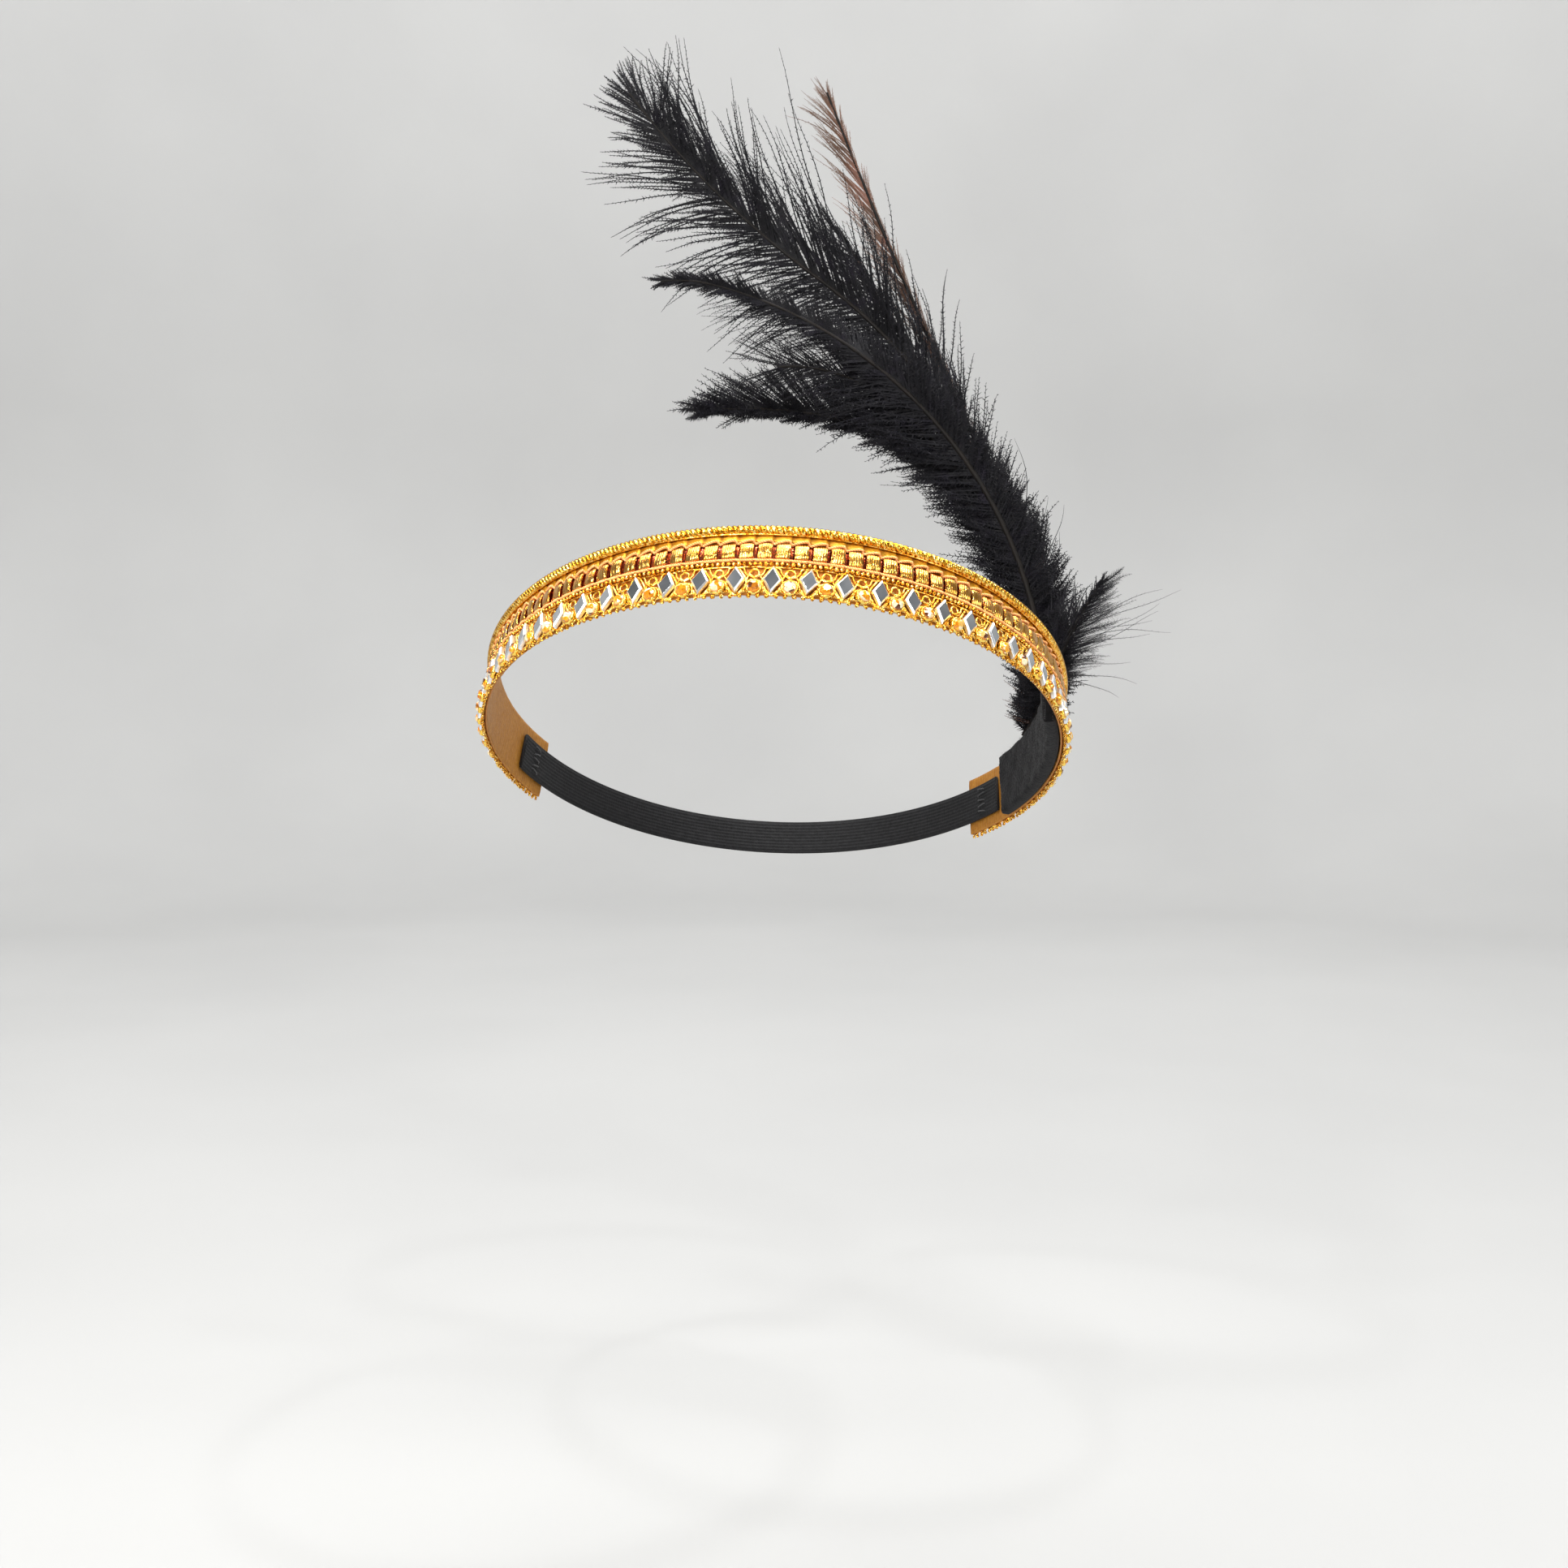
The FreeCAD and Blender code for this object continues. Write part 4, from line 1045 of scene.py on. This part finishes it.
def make_marabou():
    fluff = dict(thick=0.1, hairs=44, hair=1.4, hair_width=0.13, tone=(0.0, 0.6))
    dark = dict(thick=0.22, hairs=28, hair=1.2, hair_width=0.32)
    spike = dict(thick=0.24, hairs=18, hair=0.7, hair_width=0.26)
    wisp = dict(thick=0.11, hairs=40, hair=0.7, hair_width=0.1, tone=(0.3, 1.0))
    feather("side_marabou", 47, [
        barbs(fluff, 1, 100, (0.04, 0.95), [(0.04, 7), (0.4, 14), (0.7, 12), (0.95, 8)],
            [(0.04, 60), (0.6, 46), (0.95, 24)], [(0.04, 20), (0.6, -6), (0.95, -10)], splay=30.0,
            clump=2.5, wave=9.0, jitter=1.3),
        barbs(spike, 1, 44, (0.04, 0.98), [(0.04, 7), (0.4, 8), (0.7, 4), (1.0, 3)],
            [(0.04, 56), (1.0, 20)], [(0.04, 10), (1.0, -8)], clump=2.0, wave=9.0, jitter=1.6),
        barbs(dark, -1, 110, (0.04, 0.45), [(0.04, 7), (0.25, 12), (0.45, 9)], [(0.04, 40), (0.45, 32)],
            [(0.04, -10), (0.45, -4)], splay=28.0, clump=2.5, wave=7.0, jitter=1.4),
        barbs(spike, -1, 44, (0.4, 0.99), [(0.4, 9), (0.6, 5), (0.8, 3), (1.0, 3)],
            [(0.4, 40), (1.0, 16)], [(0.4, -6), (1.0, -6)], clump=2.0, wave=8.0, jitter=1.6),
        barbs(spike, -1, 52, (0.04, 0.6), [(0.04, 16), (0.3, 22), (0.6, 13)], [(0.04, 20), (0.6, 24)],
            [(0.04, -16), (0.6, -18)], clump=2.5, wave=9.0, jitter=1.5),
        barbs(wisp, 1, 10, (0.12, 0.6), [(0.12, 18), (0.35, 31), (0.6, 27)],
            [(0.12, 78), (0.3, 50), (0.6, 38)], [(0.12, 40), (0.3, 10), (0.6, 20)], splay=14.0,
            clump=1.5, wave=9.0),
    ])


# ---------------------------------------------------------------- build

for make in (
    make_felt, make_base_ribbon, make_top_cord, make_channel, make_pleats, make_wave_threads,
    make_bead_cord, make_diamonds, make_rounds, make_scrolls, make_picot, make_elastic,
    make_stitches, make_bindings, make_ostrich, make_short_hackle, make_ragged_plume,
    make_low_plume, make_bronze, make_back_hackle, make_marabou,
):
    make()

for name in QUILLS:
    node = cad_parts[f"{name}_quill"]
    node.data.materials.clear()
    node.data.materials.append(QUILL_HORN)

# ---------------------------------------------------------------- floor, light and world

FLOOR_Z = -0.235


def make_floor():
    """A plain pale floor that sweeps up into a low wall all round."""
    wall, sweep, top, turns = 2.0, 0.6, 1.6, 96
    bend = [math.radians(a) for a in range(0, 91, 6)]
    line = [(0.4, FLOOR_Z), (0.9, FLOOR_Z)]
    line += [(wall - sweep + sweep * math.sin(a), FLOOR_Z + sweep * (1 - math.cos(a))) for a in bend]
    line += [(wall, top)]
    angles = [2 * math.pi * i / turns for i in range(turns)]
    points = [(r * math.sin(a), r * math.cos(a), z) for r, z in line for a in angles]
    faces = [list(range(turns))[::-1]]
    for row in range(len(line) - 1):
        for i in range(turns):
            here, there = row * turns + i, row * turns + (i + 1) % turns
            faces.append((here, there, there + turns, here + turns))
    mesh = bpy.data.meshes.new("floor")
    mesh.from_pydata(points, [], faces)
    mesh.polygons.foreach_set("use_smooth", [True] * len(faces))
    paint, nodes, links, shader = new_paint("pale_floor")
    greys = [(0.3, (0.35, 0.35, 0.346)), (0.7, (0.375, 0.375, 0.37))]
    links.new(ramp(nodes, links, noise(nodes, links, 3.0), greys), shader.inputs["Base Color"])
    put(shader, Roughness=0.9)
    mesh.materials.append(paint)
    obj = bpy.data.objects.new("floor", mesh)
    scene.collection.objects.link(obj)


def area_light(name, place, target, size, power, colour=(1, 1, 1)):
    data = bpy.data.lights.new(name, "AREA")
    data.shape, data.energy, data.color = "RECTANGLE", power, colour
    data.size, data.size_y = size
    obj = bpy.data.objects.new(name, data)
    obj.location = place
    obj.rotation_euler = (Vector(target) - Vector(place)).to_track_quat("-Z", "Y").to_euler()
    scene.collection.objects.link(obj)


def make_world():
    """Soft light from above: its brightness changes only with height, darker at the horizon and in a band
    part way up.
    """
    world = bpy.data.worlds.new("studio")
    world.use_nodes = True
    scene.world = world
    nodes, links = world.node_tree.nodes, world.node_tree.links
    back = next(n for n in nodes if n.type == "BACKGROUND")
    where = nodes.new("ShaderNodeTexCoord")
    split = nodes.new("ShaderNodeSeparateXYZ")
    links.new(where.outputs["Generated"], split.inputs["Vector"])
    sky = ramp(nodes, links, split.outputs["Z"], [
        (0.0, (0.3, 0.3, 0.31)), (0.45, (0.55, 0.55, 0.56)),
        (0.75, (0.3, 0.3, 0.31)), (1.0, (0.85, 0.85, 0.85)),
    ])
    links.new(sky, back.inputs["Color"])
    put(back, Strength=0.8)


make_floor()
make_world()
area_light("key", (-0.5, -0.84, 0.5), (0, 0, 0.03), (0.28, 0.28), 10.0, (1.0, 0.98, 0.95))
area_light("strip", (0.0, -0.32, 1.02), (0, 0, 0.0), (1.4, 0.07), 7.0, (1.0, 0.99, 0.97))
area_light("glint", (-0.28, -0.95, 0.18), (0, 0, 0.02), (0.07, 0.07), 2.5)
for turn, lift in ((-36, 43), (-12, 63), (13, 43), (38, 63)):
    turn, lift = math.radians(turn), math.radians(lift)
    sight = (math.sin(turn) * math.cos(lift), -math.cos(turn) * math.cos(lift), math.sin(lift))
    area_light("spark", tuple(1.1 * v for v in sight), (0, 0, 0.02), (0.04, 0.04), 2.0)
area_light("fill", (0.95, -0.65, 0.28), (0, 0, 0.03), (0.4, 0.4), 3.5, (0.95, 0.97, 1.0))
area_light("wall", (0.0, 0.3, 2.0), (0, 1.9, 0.2), (2.6, 1.2), 76.0)
scene.view_settings.view_transform = "Standard"
